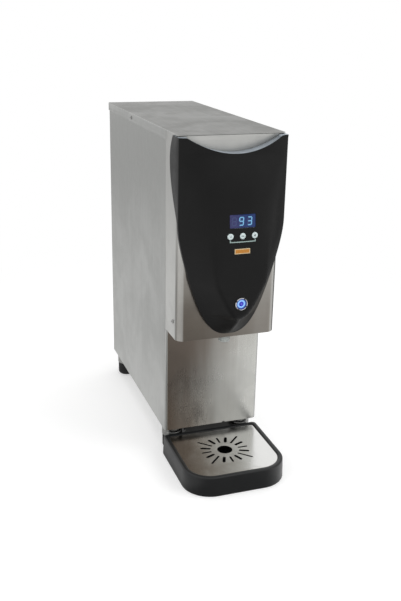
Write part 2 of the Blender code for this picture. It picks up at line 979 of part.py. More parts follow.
def solenoid(name, centre, axis, looks, parent):
    """A valve body with a barb at each end along an axis, and its coil above or ahead of it."""
    reach = valve_length / 2
    barb = reach + valve_barb_length
    profile = (
        (0, -barb),
        (valve_barb_radius, -barb),
        (valve_barb_radius, -reach),
        (valve_radius, -reach),
        (valve_radius, reach),
        (valve_barb_radius, reach),
        (valve_barb_radius, barb),
        (0, barb),
    )
    place(f"{name}_valve_body", turned(profile, small_segments, axis), looks["brass"], parent, centre)
    half = coil_width / 2
    start = valve_radius + gap
    if axis == "Y":
        coil = rounded((-half, -half), (half, half), [half * 0.4] * 4, steps=2)
        made = loft([at_height(coil, start), at_height(coil, start + coil_height)])
    else:
        coil = rounded((-half, -half), (half, half), [half * 0.4] * 4, steps=2)
        made = prism(coil, start, start + coil_height, "Y")
    place(f"{name}_coil", made, looks["plastic"], parent, centre)
    return barb


def build_outlet(looks, parent):
    """Nozzle, its nut, the dispense valve and the tubes from the tank to the nozzle."""
    top = nozzle_stem_length
    profile = (
        (nozzle_bore_radius, -nozzle_drop),
        (nozzle_radius * 0.85, -nozzle_drop),
        (nozzle_radius, -nozzle_drop * 0.6),
        (nozzle_radius, -gap),
        (nozzle_stem_radius, -gap),
        (nozzle_stem_radius, top),
        (nozzle_bore_radius, top),
    )
    spot = (0, nozzle_y, hood_bottom)
    place("nozzle", turned(profile, round_segments, closed=True), looks["nozzle"], parent, spot)
    nut_low = sheet + gap
    nut = hex_nut(nozzle_nut_radius, nozzle_stem_radius + gap, nut_low, nut_low + nozzle_nut_height)
    place("nozzle_nut", nut, looks["plastic"], parent, spot)

    valve_centre = (0, nozzle_y + valve_radius + tube_radius, hood_bottom + valve_height)
    barb = solenoid("dispense", valve_centre, "Z", looks, parent)
    piped(
        "nozzle_tube",
        [
            (0, nozzle_y, hood_bottom + nozzle_stem_length + gap),
            (0, nozzle_y, hood_bottom + valve_height / 2 - tube_radius),
            (0, valve_centre[1], hood_bottom + valve_height / 2),
            (0, valve_centre[1], valve_centre[2] - barb - gap),
        ],
        tube_radius,
        looks["rubber"],
        parent,
    )
    outlet_z = tank_top - outlet_drop
    piped(
        "outlet_tube",
        [
            (0, valve_centre[1], valve_centre[2] + barb + gap),
            (0, valve_centre[1], outlet_z),
            (0, tank_front + tank_wall + overrun, outlet_z),
        ],
        tube_radius,
        looks["rubber"],
        parent,
    )
    hole = turned(
        (
            (0, -jacket_thickness - overrun),
            (tube_radius + gap, -jacket_thickness - overrun),
            (tube_radius + gap, overrun),
            (0, overrun),
        ),
        small_segments * 2,
        "Y",
    )
    return place("outlet_cutter", hole, None, parent, (0, tank_front, outlet_z), cutter=True)


def build_tank(looks, outlet_hole, parent):
    """Stand, open tank, gasket, lid and all that passes through the lid, in an insulation jacket."""
    half = tank_width / 2
    low = (-half, tank_front)
    high = (half, tank_rear)
    radii = [tank_corner_radius] * 4
    steps = corner_steps - 1
    wall = rounded(low, high, radii, steps=steps)
    lip = rounded(low, high, radii, -tank_lip, steps)
    inside = rounded(low, high, radii, tank_wall, steps)
    shell = place(
        "tank_shell",
        loft(
            [
                at_height(wall, tank_bottom),
                at_height(wall, tank_top - tank_wall),
                at_height(lip, tank_top - tank_wall),
                at_height(lip, tank_top),
                at_height(inside, tank_top),
                at_height(inside, tank_bottom + tank_wall),
            ]
        ),
        looks["steel"],
        parent,
    )
    seal_low = tank_top + gap
    place(
        "tank_gasket",
        band(
            [
                at_height(lip, seal_low),
                at_height(lip, seal_low + gasket_thickness),
                at_height(inside, seal_low + gasket_thickness),
                at_height(inside, seal_low),
            ]
        ),
        looks["seal"],
        parent,
    )
    lid = place(
        "tank_lid",
        loft([at_height(lip, tank_lid_under), at_height(lip, tank_lid_top)]),
        looks["steel"],
        parent,
    )
    sleeve = rounded(low, high, radii, -gap, steps)
    cover = rounded(low, high, radii, -gap - jacket_thickness, steps)
    jacket_low = tank_bottom + jacket_clear
    jacket_high = tank_top - tank_wall - jacket_clear
    jacket = place(
        "insulation_jacket",
        band(
            [
                at_height(cover, jacket_low),
                at_height(cover, jacket_high),
                at_height(sleeve, jacket_high),
                at_height(sleeve, jacket_low),
            ]
        ),
        looks["foam"],
        parent,
    )
    for piece in (shell, jacket):
        boolean(piece, outlet_hole)

    stand_y = tank_front + tank_length / 2
    side = stand_half_width
    base = pan_floor_top + gap
    hat = bent_strip(
        [
            (-side - stand_foot, base),
            (-side, base),
            (-side, tank_bottom - gap - sheet),
            (side, tank_bottom - gap - sheet),
            (side, base),
            (side + stand_foot, base),
        ],
        sheet,
        bend_radius,
    )
    stand = prism(hat, stand_y - stand_length / 2, stand_y + stand_length / 2, "Y")
    place("tank_stand", stand, looks["dark_steel"], parent)

    lid_low, lid_high = tank_lid_under - overrun, tank_lid_top + overrun
    heater_y = tank_front + heater_back
    ends = [(-heater_half_span, heater_y), (heater_half_span, heater_y)]
    bottom = tank_top - heater_depth
    top = tank_lid_top + probe_head_height
    piped(
        "heating_element",
        [
            (ends[0][0], heater_y, top),
            (ends[0][0], heater_y, bottom),
            (ends[1][0], heater_y, bottom),
            (ends[1][0], heater_y, top),
        ],
        heater_radius,
        looks["steel"],
        parent,
    )
    for k, (x, y) in enumerate(ends):
        boolean(lid, upright_hole(f"heater_hole_cutter_{k}", heater_radius + gap, x, y, lid_low, lid_high, parent))

    probe_y = tank_front + probe_back
    for name, x, depth in (("temperature_probe", -probe_side, probe_depth), ("level_probe", probe_side, probe_depth / 2)):
        profile = (
            (0, probe_head_height),
            (probe_head_radius * 0.7, probe_head_height),
            (probe_head_radius, probe_head_height * 0.6),
            (probe_head_radius, gap),
            (probe_radius, gap),
            (probe_radius, -depth),
            (0, -depth),
        )
        place(name, turned(profile, small_segments), looks["steel"], parent, (x, probe_y, tank_lid_top))
        boolean(lid, upright_hole(f"{name}_cutter", probe_radius + gap, x, probe_y, lid_low, lid_high, parent))

    disc = turned(
        (
            (0, gap),
            (thermostat_radius, gap),
            (thermostat_radius, thermostat_height * 0.6),
            (thermostat_radius * 0.6, thermostat_height * 0.6),
            (thermostat_radius * 0.6, thermostat_height),
            (0, thermostat_height),
        ),
        small_segments,
    )
    spot = (0, tank_front + tank_length / 2, tank_lid_top)
    place("limit_thermostat", disc, looks["plastic"], parent, spot)

    vent_y = tank_front + probe_back / 2
    crown = tank_lid_top + (lid_under - tank_lid_top) / 2
    front_y = -hood_depth / 2
    vent_x = probe_side * 1.5
    piped(
        "vent_tube",
        [
            (0, vent_y, tank_lid_top + gap),
            (0, vent_y, crown),
            (vent_x, vent_y - probe_side, crown),
            (vent_x, front_y, crown),
            (vent_x, front_y, hood_bottom + sheet + gap),
        ],
        vent_tube_radius,
        looks["rubber"],
        parent,
    )
    return shell


def build_inlet(looks, shell, wrapper, parent):
    """Rear water fitting, fill valve, its coil and the tube up to the tank floor."""
    x = -rear_fitting_side
    flange = inlet_flange_thickness + gap
    end = flange + inlet_thread_length
    profile = (
        (inlet_bore_radius, end),
        (inlet_thread_radius * 0.86, end),
        (inlet_thread_radius, end - inlet_thread_length * 0.2),
        (inlet_thread_radius, flange),
        (inlet_flange_radius, flange),
        (inlet_flange_radius, gap),
        (inlet_thread_radius, gap),
        (inlet_thread_radius, -inlet_inner_length),
        (inlet_bore_radius, -inlet_inner_length),
    )
    spot = (x, rear_face, inlet_z)
    place("inlet_fitting", turned(profile, round_segments, "Y", closed=True), looks["brass"], parent, spot)
    boolean(wrapper, rear_hole("inlet_cutter", inlet_thread_radius + gap, x, inlet_z, parent))
    reach = valve_length / 2 + valve_barb_length
    valve_y = rear_face - inlet_inner_length - gap - reach
    solenoid("inlet", (x, valve_y, inlet_z), "Y", looks, parent)
    start = valve_y - reach - gap
    rise_y = start - valve_length
    piped(
        "inlet_tube",
        [
            (x, start, inlet_z),
            (x, rise_y, inlet_z),
            (x, rise_y, tank_bottom + tank_wall + overrun),
        ],
        tube_radius,
        looks["rubber"],
        parent,
    )
    low, high = tank_bottom - overrun, tank_bottom + tank_wall + 2 * overrun
    boolean(shell, upright_hole("tank_inlet_cutter", tube_radius + gap, x, rise_y, low, high, parent, round_segments))


def build_electrics(looks, wrapper, parent):
    """Control board on its bracket, cord gland, power switch and vents in the rear wall."""
    board_low = pan_floor_top + control_board_lift
    board_high = board_low + control_board_height
    half = control_board_width / 2
    front = control_board_back
    board = block((-half, front - board_thickness, board_low), (half, front, board_high))
    board_piece = place("control_board", board, looks["board"], parent)
    relays = bmesh.new()
    size = relay_size / 2
    for column in (-1, 0, 1):
        for row in (-1, 1):
            centre_x = column * half * 0.6
            centre_z = (board_low + board_high) / 2 + row * control_board_height / 4
            spots = (
                (centre_x - size, front - relay_size, centre_z - size),
                (centre_x + size, front - board_thickness / 2, centre_z + size),
            )
            add_block(relays, spots)
    boolean(board_piece, place("relay_joiner", relays, None, parent, cutter=True), "UNION")

    base = pan_floor_top + gap
    back = front + gap + sheet
    plate = bent_strip(
        [(back - sheet, board_high), (back - sheet, base), (back + bracket_foot, base)],
        sheet,
        bend_radius,
    )
    place("board_bracket", prism(plate, -half, half, "X"), looks["dark_steel"], parent)

    x = rear_fitting_side
    profile = (
        (gland_bore_radius, gland_proud),
        (gland_radius * 0.7, gland_proud),
        (gland_radius * 0.85, gland_proud * 0.3),
        (gland_radius, gland_proud * 0.25),
        (gland_radius, gap),
        (gland_barrel_radius, gap),
        (gland_barrel_radius, -gland_inside),
        (gland_bore_radius, -gland_inside),
    )
    spot = (x, rear_face, inlet_z)
    place("cord_gland", turned(profile, round_segments, "Y", closed=True), looks["plastic"], parent, spot)
    boolean(wrapper, rear_hole("gland_cutter", gland_barrel_radius + gap, x, inlet_z, parent))

    z = foot_clearance + switch_height
    body_half = rocker_width / 2 + gap + switch_frame
    body_tall = rocker_tall / 2 + 3 * gap + switch_frame
    face_half = body_half + switch_bezel_margin
    face_tall = body_tall + switch_bezel_margin
    front_y, face_y = rear_face + gap, rear_face + gap + switch_bezel_thickness
    outer = [(-face_half, -face_tall), (face_half, -face_tall), (face_half, face_tall), (-face_half, face_tall)]
    body = [(-body_half, -body_tall), (body_half, -body_tall), (body_half, body_tall), (-body_half, body_tall)]
    well_half, well_tall = body_half - switch_frame, body_tall - switch_frame
    well = [(-well_half, -well_tall), (well_half, -well_tall), (well_half, well_tall), (-well_half, well_tall)]
    levels = (
        (body, rear_face - switch_body_depth),
        (body, front_y),
        (outer, front_y),
        (outer, face_y),
        (well, face_y),
        (well, rear_face - switch_body_depth / 2),
    )
    housing = loft([[(x + a, y, z + b) for a, b in shape] for shape, y in levels])
    place("switch_housing", housing, looks["plastic"], parent)
    opening = block(
        (x - body_half - gap, rear_face - overrun, z - body_tall - gap),
        (x + body_half + gap, rear_face + overrun, z + body_tall + gap),
    )
    boolean(wrapper, place("switch_cutter", opening, None, parent, cutter=True))

    rocker_half = rocker_width / 2
    tall = rocker_tall / 2
    thick = rocker_thickness
    outline = [(0, -tall), (thick, -tall), (thick * 0.62, 0), (thick, tall), (0, tall), (-thick, tall / 2), (-thick, -tall / 2)]
    tip = anchor("power_rocker_body", (x, rear_face + gap, z), parent)
    rocker = place("power_rocker", prism(outline, -rocker_half, rocker_half, "X"), looks["rocker"], tip)
    rocker.rotation_euler.x = math.radians(-rocker_tip)

    slots = bmesh.new()
    top = wall_top - vent_drop
    for k in range(vent_slots):
        for side in (-1, 1):
            middle = side * vent_width * 0.62
            low = (middle - vent_width / 2, rear_face - overrun, top - k * vent_pitch - vent_height)
            high = (middle + vent_width / 2, rear_face + overrun, top - k * vent_pitch)
            add_block(slots, (low, high))
    boolean(wrapper, place("vent_cutter", slots, None, parent, cutter=True))


def add_block(bm, corners):
    """Adds a box between two corners to a mesh that is being built."""
    low, high = Vector(corners[0]), Vector(corners[1])
    centre = (low + high) / 2
    size = high - low
    matrix = Matrix.Translation(centre) @ Matrix.Diagonal((*size, 1))
    bmesh.ops.create_cube(bm, size=1, matrix=matrix)


def build_legs(looks, pan, parent):
    """Four legs: a fixed collar under the pan, and a turning rubber pad on its stud."""
    for side, side_word in ((-1, "left"), (1, "right")):
        for y, end_word in ((leg_front_y, "front"), (leg_rear_y, "rear")):
            word = f"{end_word}_{side_word}"
            x = side * leg_x
            collar = turned(
                (
                    (stud_radius + gap, pad_height + gap),
                    (collar_radius * 0.96, pad_height + gap),
                    (collar_radius, pad_height + gap * 4),
                    (collar_radius, foot_clearance - gap),
                    (stud_radius + gap, foot_clearance - gap),
                ),
                leg_segments,
                closed=True,
            )
            place(f"leg_collar_{word}", collar, looks["steel"], parent, (x, y, 0))
            hole = upright_hole(
                f"leg_cutter_{word}",
                stud_radius + gap,
                x,
                y,
                foot_clearance - overrun,
                pan_floor_top + overrun,
                parent,
            )
            boolean(pan, hole)
            body = anchor(f"foot_{word}_body", (x, y, 0), parent)
            blind = pad_height - stud_embed
            pad = turned(
                (
                    (0, 0),
                    (pad_bottom_radius, 0),
                    (pad_radius - pad_rounding * 0.3, pad_rounding * 0.3),
                    (pad_radius, pad_rounding),
                    (pad_radius, pad_height - pad_rounding / 3),
                    (pad_radius - pad_rounding / 3, pad_height),
                    (stud_radius + gap, pad_height),
                    (stud_radius + gap, blind),
                    (0, blind),
                ),
                leg_segments,
            )
            place(f"foot_pad_{word}", pad, looks["rubber"], body)
            stud = turned(
                (
                    (0, blind + gap),
                    (stud_radius, blind + gap),
                    (stud_radius, pan_floor_top + stud_rise),
                    (0, pan_floor_top + stud_rise),
                ),
                small_segments,
            )
            place(f"foot_stud_{word}", stud, looks["steel"], body)


def slot_outline(angle, width, start, end):
    """A radial slot with round ends, as points in plan."""
    along = Vector((math.sin(angle), math.cos(angle)))
    across = Vector((along.y, -along.x))
    radius = width / 2
    points = []
    for centre, first in ((end - radius, 0), (start + radius, math.pi)):
        for step in range(4):
            turn = first + math.pi * step / 3
            offset = across * math.cos(turn) + along * math.sin(turn)
            points.append(tuple(along * centre + offset * radius))
    return points


def build_tray(looks, parent):
    """Moulded drip tray with its recess and ledge, and the slotted grate that rests on it."""
    half = tray_width / 2
    corners = (
        (-half, -tray_front, tray_front_radius),
        (half, -tray_front, tray_front_radius),
        (half, tray_ear_y, tray_ear_radius),
        (tray_neck_x, tray_ear_y, tray_hollow_radius),
        (tray_neck_x, tray_rear, tray_ear_radius),
        (-tray_neck_x, tray_rear, tray_ear_radius),
        (-tray_neck_x, tray_ear_y, tray_hollow_radius),
        (-half, tray_ear_y, tray_ear_radius),
    )
    recess_line = tray_recess_rear + tray_rim

    def ring(inset, height):
        """The tray's plan drawn in by inset, at a height."""
        return at_height(rounded_plan(corners, inset), height)

    def recess(inset, height):
        """The recess's plan drawn in by inset from the tray's edge, at a height."""
        radii = (tray_front_radius, tray_front_radius, tray_recess_radius, tray_recess_radius)
        low, high = (-half, -tray_front), (half, recess_line)
        return at_height(rounded(low, high, radii, inset), height)

    ledge = tray_height - tray_ledge_drop
    tray_body = anchor("drip_tray_body", (0, 0, 0), parent)
    tray = place(
        "drip_tray",
        loft(
            [
                ring(tray_rounding, 0),
                ring(0, tray_rounding),
                ring(tray_draft, tray_height - tray_edge),
                ring(tray_draft + tray_edge * 0.3, tray_height - tray_edge * 0.3),
                ring(tray_draft + tray_edge, tray_height),
            ]
        ),
        looks["tray"],
        tray_body,
    )
    hollow = loft(
        [
            recess(tray_rim + tray_ledge + tray_rounding, tray_floor),
            recess(tray_rim + tray_ledge, ledge),
            recess(tray_rim, ledge),
            recess(tray_rim, tray_height - tray_rim_drop),
            recess(tray_draft + tray_ridge, tray_height),
            recess(tray_draft + tray_ridge, tray_height + overrun),
        ]
    )
    boolean(tray, place("tray_recess_cutter", hollow, None, tray_body, cutter=True))
    pocket_x = tray_neck_x - tray_skin - tray_rounding
    pocket = block(
        (-pocket_x, tray_recess_rear + tray_skin, -overrun),
        (pocket_x, tray_rear - tray_skin - tray_rounding, tray_height - tray_skin),
    )
    boolean(tray, place("tray_pocket_cutter", pocket, None, tray_body, cutter=True))
    grate_body = anchor("drip_grate_body", (0, 0, 0), tray_body)
    edge = tray_rim + gap
    bevel = grate_thickness / 3
    grate = place(
        "drip_grate",
        loft([recess(edge, grate_under), recess(edge, grate_top - bevel), recess(edge + bevel, grate_top)]),
        looks["steel"],
        grate_body,
    )
    openings = bmesh.new()
    shapes = [circle(grate_hole_radius, round_segments)]
    for k in range(slot_count):
        angle = 2 * math.pi * (k + 1) / slot_count
        if k % 2 == 0:
            shapes.append(slot_outline(angle, slot_wide, slot_start, slot_wide_end))
        else:
            end = slot_long_end if k % 4 == 1 else slot_short_end
            shapes.append(slot_outline(angle, slot_thin, slot_start, end))
    for shape in shapes:
        rings = [
            [openings.verts.new((x, grate_centre_y + y, height)) for x, y in shape]
            for height in (grate_under - overrun, grate_top + overrun)
        ]
        openings.faces.new(rings[0])
        openings.faces.new(rings[1])
        for a in range(len(shape)):
            b = (a + 1) % len(shape)
            openings.faces.new((rings[0][a], rings[0][b], rings[1][b], rings[1][a]))
    boolean(grate, place("grate_cutter", openings, None, grate_body, cutter=True))


def main():
    """Builds every sub-assembly under one empty."""
    clear_scene()
    looks = {
        "steel": material("stainless", (0.60, 0.60, 0.57), 0.34, 1.0),
        "dark_steel": material("plain_steel", (0.48, 0.48, 0.46), 0.42, 1.0),
        "chrome": material("chrome", (0.80, 0.80, 0.80), 0.12, 1.0),
        "black": material("shield_black", (0.018, 0.018, 0.018), 0.42),
        "tray": material("tray_black", (0.022, 0.023, 0.024), 0.5),
        "rubber": material("rubber_black", (0.02, 0.02, 0.02), 0.75),
        "pane": material("display_blue", (0.02, 0.04, 0.17), 0.12),
        "key": material("key_white", (0.62, 0.70, 0.70), 0.4),
        "halo": material("halo_blue", (0.40, 0.62, 0.90), 0.3),
        "button": material("button_blue", (0.03, 0.06, 0.30), 0.25),
        "plastic": material("dark_plastic", (0.03, 0.03, 0.03), 0.55),
        "rocker": material("rocker_black", (0.015, 0.015, 0.015), 0.35),
        "nozzle": material("nozzle_clear", (0.72, 0.74, 0.70), 0.3),
        "board": material("board_green", (0.02, 0.12, 0.05), 0.5),
        "brass": material("brass", (0.60, 0.44, 0.18), 0.35, 1.0),
        "foam": material("jacket_foam", (0.55, 0.55, 0.52), 0.95),
        "seal": material("seal_red", (0.35, 0.05, 0.03), 0.7),
    }
    assembly = anchor("assembly", (0, assembly_shift, 0))
    wrapper, pan = build_casing(looks["steel"], looks["dark_steel"], assembly)
    build_shield(looks["black"], assembly)
    build_controls(looks, assembly)
    outlet_hole = build_outlet(looks, assembly)
    shell = build_tank(looks, outlet_hole, assembly)
    build_inlet(looks, shell, wrapper, assembly)
    build_electrics(looks, wrapper, assembly)
    build_legs(looks, pan, assembly)
    build_tray(looks, assembly)


main()
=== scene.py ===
"""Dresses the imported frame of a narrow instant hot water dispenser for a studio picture.

Metres, +Z up. X is the width, -Y is the front, and the origin is on the counter under the middle of the whole.
Heights are from the counter. Depths named in the classes are from the front of the column, which is at COLUMN_FRONT.
"""

import logging
import math
from collections.abc import Iterable, Sequence
from dataclasses import dataclass
from enum import Enum
from functools import cache

import bmesh
import bpy
from mathutils import Matrix, Vector


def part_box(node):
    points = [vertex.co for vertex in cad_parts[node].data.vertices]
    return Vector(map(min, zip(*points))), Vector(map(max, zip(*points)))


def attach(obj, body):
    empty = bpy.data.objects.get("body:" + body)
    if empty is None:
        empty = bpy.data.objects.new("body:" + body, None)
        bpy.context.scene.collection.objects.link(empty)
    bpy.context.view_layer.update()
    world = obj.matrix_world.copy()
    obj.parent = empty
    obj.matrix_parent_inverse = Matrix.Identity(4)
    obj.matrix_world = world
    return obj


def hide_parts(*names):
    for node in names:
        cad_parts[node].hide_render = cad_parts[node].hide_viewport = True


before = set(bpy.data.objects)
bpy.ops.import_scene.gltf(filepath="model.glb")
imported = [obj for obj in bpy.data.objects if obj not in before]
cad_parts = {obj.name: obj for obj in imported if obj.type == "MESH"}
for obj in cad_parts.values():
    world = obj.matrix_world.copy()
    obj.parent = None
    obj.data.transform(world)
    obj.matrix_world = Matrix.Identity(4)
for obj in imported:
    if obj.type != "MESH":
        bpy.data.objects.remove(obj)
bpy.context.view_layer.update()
COLUMN_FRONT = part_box("body_wrapper")[0].y
REAR_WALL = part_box("body_wrapper")[1].y
CABINET = "cabinet"
ON_AXIS = 1e-7
LOG = logging.getLogger("dispenser")

Colour = tuple[float, float, float]
Pair = tuple[float, float]
Spot = tuple[float, float, float]
Mesh = bmesh.types.BMesh
Vert = bmesh.types.BMVert
Tree = bpy.types.NodeTree
Node = bpy.types.Node
Socket = bpy.types.NodeSocket
Sockets = bpy.types.bpy_prop_collection
Inputs = dict[str | int, object]

WHITE: Colour = (1.0, 1.0, 1.0)


class Grain(Enum):
    """The way a sheet is brushed, as how tightly its streaks are packed along X, Y and Z."""

    ALONG_X = (9.0, 520.0, 520.0)
    ALONG_Y = (520.0, 9.0, 520.0)
    ALONG_Z = (520.0, 520.0, 9.0)
    CROSSED = (160.0, 160.0, 160.0)


class Axis(Enum):
    """The axis a turned piece is turned about, as the matrix that lays +Z along it."""

    ACROSS = Matrix.Rotation(math.pi / 2, 4, "Y")
    BACK = Matrix.Rotation(-math.pi / 2, 4, "X")
    UP = Matrix.Identity(4)


class Graph:
    """A node tree while it is being wired. Its where is the point that is shaded, in the part's own frame."""

    def __init__(self, tree: Tree) -> None:
        """Starts on the tree that nodes are added to."""
        self.tree = tree

    @classmethod
    def on(cls, owner: bpy.types.ID, where: str = "Object") -> "Graph":
        """Starts afresh on a material's or a world's nodes.

        Args:
            owner: The material or world.
            where: The coordinates that it reads.

        Returns:
            The graph.
        """
        owner.use_nodes = True
        owner.node_tree.nodes.clear()
        graph = cls(owner.node_tree)
        graph.where = graph.add("TexCoord").outputs[where]
        return graph

    @classmethod
    def group(cls, name: str, **inputs: str) -> tuple["Graph", Sockets]:
        """Starts a shader group, which takes the place and what else it needs.

        Args:
            name: The group's name.
            inputs: The kind of each other input.

        Returns:
            The group's graph, and what its inputs give.
        """
        graph = cls(bpy.data.node_groups.new(name, "ShaderNodeTree"))
        for label, kind in {"Place": "Vector", **inputs}.items():
            graph.tree.interface.new_socket(label, in_out="INPUT", socket_type=f"NodeSocket{kind}")
        given = graph.tree.nodes.new("NodeGroupInput").outputs
        graph.where = given["Place"]
        return graph, given

    def give(self, **outputs: Socket) -> Tree:
        """Ends a shader group with its outputs.

        Args:
            outputs: The number that each output gives.

        Returns:
            The finished group.
        """
        for label in outputs:
            self.tree.interface.new_socket(label, in_out="OUTPUT", socket_type="NodeSocketFloat")
        self.feed(self.tree.nodes.new("NodeGroupOutput"), outputs)
        return self.tree

    def add(self, kind: str, inputs: Inputs | None = None, **settings: object) -> Node:
        """Adds a node.

        Args:
            kind: The node's type without its prefix.
            inputs: What its inputs take.
            settings: Attributes of the node itself.

        Returns:
            The new node.
        """
        node = self.tree.nodes.new(f"ShaderNode{kind}")
        for name, value in settings.items():
            setattr(node, name, value)
        return self.feed(node, inputs or {})

    def feed(self, node: Node, values: Inputs) -> Node:
        """Sets or links a node's inputs.

        Args:
            node: The node whose inputs are fed.
            values: A number, colour or output socket for each input name or place.

        Returns:
            The same node.
        """
        for name, value in values.items():
            socket = node.inputs[name]
            if isinstance(value, Socket):
                self.tree.links.new(value, socket)
            elif socket.type == "RGBA" and len(value) == 3:
                socket.default_value = (*value, 1.0)
            else:
                socket.default_value = value
        return node

    def sum(self, operation: str, *terms: object) -> Socket:
        """One step of arithmetic with numbers or sockets."""
        return self.add("Math", dict(enumerate(terms)), operation=operation).outputs[0]

    def times(self, first: object, *others: object) -> Socket:
        """Multiplies numbers or sockets.

        Args:
            first: The first of them.
            others: The rest.

        Returns:
            The product's socket.
        """
        for other in others:
            first = self.sum("MULTIPLY", first, other)
        return first

    def shift(self, level: object, mask: Socket, by: float) -> Socket:
        """A level that moves by up to a given step where a mask is 1."""
        return self.sum("MULTIPLY_ADD", mask, by, level)

    def vector(self, operation: str, *terms: object) -> Socket:
        """One step of vector arithmetic: a product gives a vector, and any other a number."""
        node = self.add("VectorMath", dict(enumerate(terms)), operation=operation)
        return node.outputs["Vector" if operation == "MULTIPLY" else "Value"]

    def span(self, value: object, source: Pair, target: Pair = (0.0, 1.0)) -> Socket:
        """Maps a value smoothly from one range to another."""
        ends = {1: source[0], 2: source[1], 3: target[0], 4: target[1]}
        return self.add("MapRange", {0: value, **ends}, interpolation_type="SMOOTHSTEP").outputs[0]

    def tint(self, mask: object, first: object, second: object, share: float = 1.0) -> Socket:
        """Mixes two colours.

        Args:
            mask: How far the second colour covers the first.
            first: A colour or socket.
            second: A colour or socket.
            share: How much of the mask counts.

        Returns:
            The mixed colour's socket.
        """
        if share != 1.0:
            mask = self.times(mask, share)
        return self.add("Mix", {0: mask, 6: first, 7: second}, data_type="RGBA").outputs[2]

    def noise(self, scale: object, detail: float = 3.0, twist: float = 0.0, where: Socket | None = None) -> Socket:
        """Soft noise between 0 and 1, with so many features for each metre, finer layers and distortion."""
        place = self.where if where is None else where
        return self.add("TexNoise", {0: place, "Scale": scale, "Detail": detail, "Distortion": twist}).outputs["Fac"]

    def bump(self, height: Socket, strength: float, distance: float) -> Socket:
        """The normal that a height gives, at a strength and depth."""
        return self.add("Bump", {"Height": height, "Strength": strength, "Distance": distance}).outputs[0]

    def axes(self, where: object) -> Sockets:
        """The X, Y and Z sockets of a vector."""
        return self.add("SeparateXYZ", {0: where}).outputs

    def facing(self) -> Sockets:
        """The X, Y and Z sockets of the way the surface faces."""
        return self.axes(self.add("NewGeometry").outputs["Normal"])

    def effect(self, group: Tree, **values: object) -> Sockets:
        """Places a shared effect.

        Args:
            group: The effect's node group.
            values: Its inputs apart from the place.

        Returns:
            The effect's output sockets.
        """
        node = self.add("Group")
        node.node_tree = group
        return self.feed(node, {"Place": self.where, **values}).outputs


class Effects:
    """The shader groups that several finishes share. Each is built once."""

    @staticmethod
    @cache
    def brushing() -> Tree:
        """Long fine streaks: a tone for the colour and a height for the bump.

        Returns:
            The group.
        """
        graph, given = Graph.group("brushing", Packing="Vector")
        stretched = graph.vector("MULTIPLY", graph.where, given["Packing"])
        broad = graph.noise(1.0, 4.0, where=stretched)
        fine = graph.noise(3.7, 2.0, where=stretched)
        height = graph.sum("ADD", broad, graph.times(fine, 0.5))
        return graph.give(Streaks=graph.span(broad, (0.28, 0.72)), Height=height)

    @staticmethod
    @cache
    def smudges() -> Tree:
        """Soft patches of haze and wiping marks, from 0 to 1.

        Returns:
            The group.
        """
        graph, given = Graph.group("smudges", Size="Float")
        clouds = graph.noise(given["Size"], 3.0, 0.7)
        wipes = graph.noise(graph.times(given["Size"], 3.3), 2.0, 1.6)
        both = graph.sum("ADD", graph.times(clouds, 0.72), graph.times(wipes, 0.28))
        return graph.give(Mask=graph.span(both, (0.38, 0.66)))

    @staticmethod
    @cache
    def worn_and_highlit_edges() -> Tree:
        """A mask over the outer edges, broken up a little, for worn edges that are also lightened as a painted edge
        highlight.

        Returns:
            The group.
        """
        graph, given = Graph.group("worn_and_highlit_edges", Width="Float")
        rounded = graph.add("Bevel", {"Radius": given["Width"]}, samples=4).outputs["Normal"]
        turn = graph.vector("DOT_PRODUCT", rounded, graph.add("NewGeometry").outputs["Normal"])
        rough = graph.span(graph.noise(260.0), (0.3, 0.62))
        return graph.give(Mask=graph.times(graph.span(turn, (0.995, 0.86)), rough))

    @staticmethod
    @cache
    def dust() -> Tree:
        """A thin film where a surface looks up, with a few specks.

        Returns:
            The group.
        """
        graph, _ = Graph.group("dust")
        lying = graph.span(graph.facing()["Z"], (0.35, 1.0), (0.12, 1.0))
        film_and_sheen = graph.span(graph.noise(34.0, 5.0), (0.36, 0.8))
        specks = graph.span(graph.noise(900.0, 1.0), (0.72, 0.8))
        return graph.give(Mask=graph.times(lying, graph.sum("MAXIMUM", film_and_sheen, specks)))

    @staticmethod
    @cache
    def mould_texture() -> Tree:
        """The fine pebbled skin of moulded plastic, as a height.

        Returns:
            The group.
        """
        graph, given = Graph.group("mould_texture", Cells="Float")
        pattern = {"Vector": graph.where, "Scale": given["Cells"]}
        cells = graph.add("TexVoronoi", pattern, feature="SMOOTH_F1").outputs["Distance"]
        fine = graph.noise(given["Cells"], 2.0)
        return graph.give(Height=graph.sum("SUBTRACT", graph.times(fine, 0.6), cells))


@dataclass(frozen=True)
class Finish:
    """What every finish has: a name, a colour and a roughness."""

    name: str
    colour: Colour
    roughness: float

    @cache
    def material(self) -> bpy.types.Material:
        """Builds the finish's material when it is first asked for.

        Returns:
            The material.
        """
        material = bpy.data.materials.new(self.name)
        graph = Graph.on(material)
        shader = graph.add("BsdfPrincipled", self.look(graph))
        graph.add("OutputMaterial", {"Surface": shader.outputs[0]})
        return material

    def look(self, graph: Graph) -> Inputs:
        """What the shader's inputs take, by name."""
        raise NotImplementedError

    def tone(self, graph: Graph, colour: Socket) -> Socket:
        """A last change to the colour, which a plain finish doesn't have."""
        return colour

    def shade(self, share: float) -> Colour:
        """The finish's colour, lighter or darker by a share."""
        return tuple(min(channel * share, 1.0) for channel in self.colour)


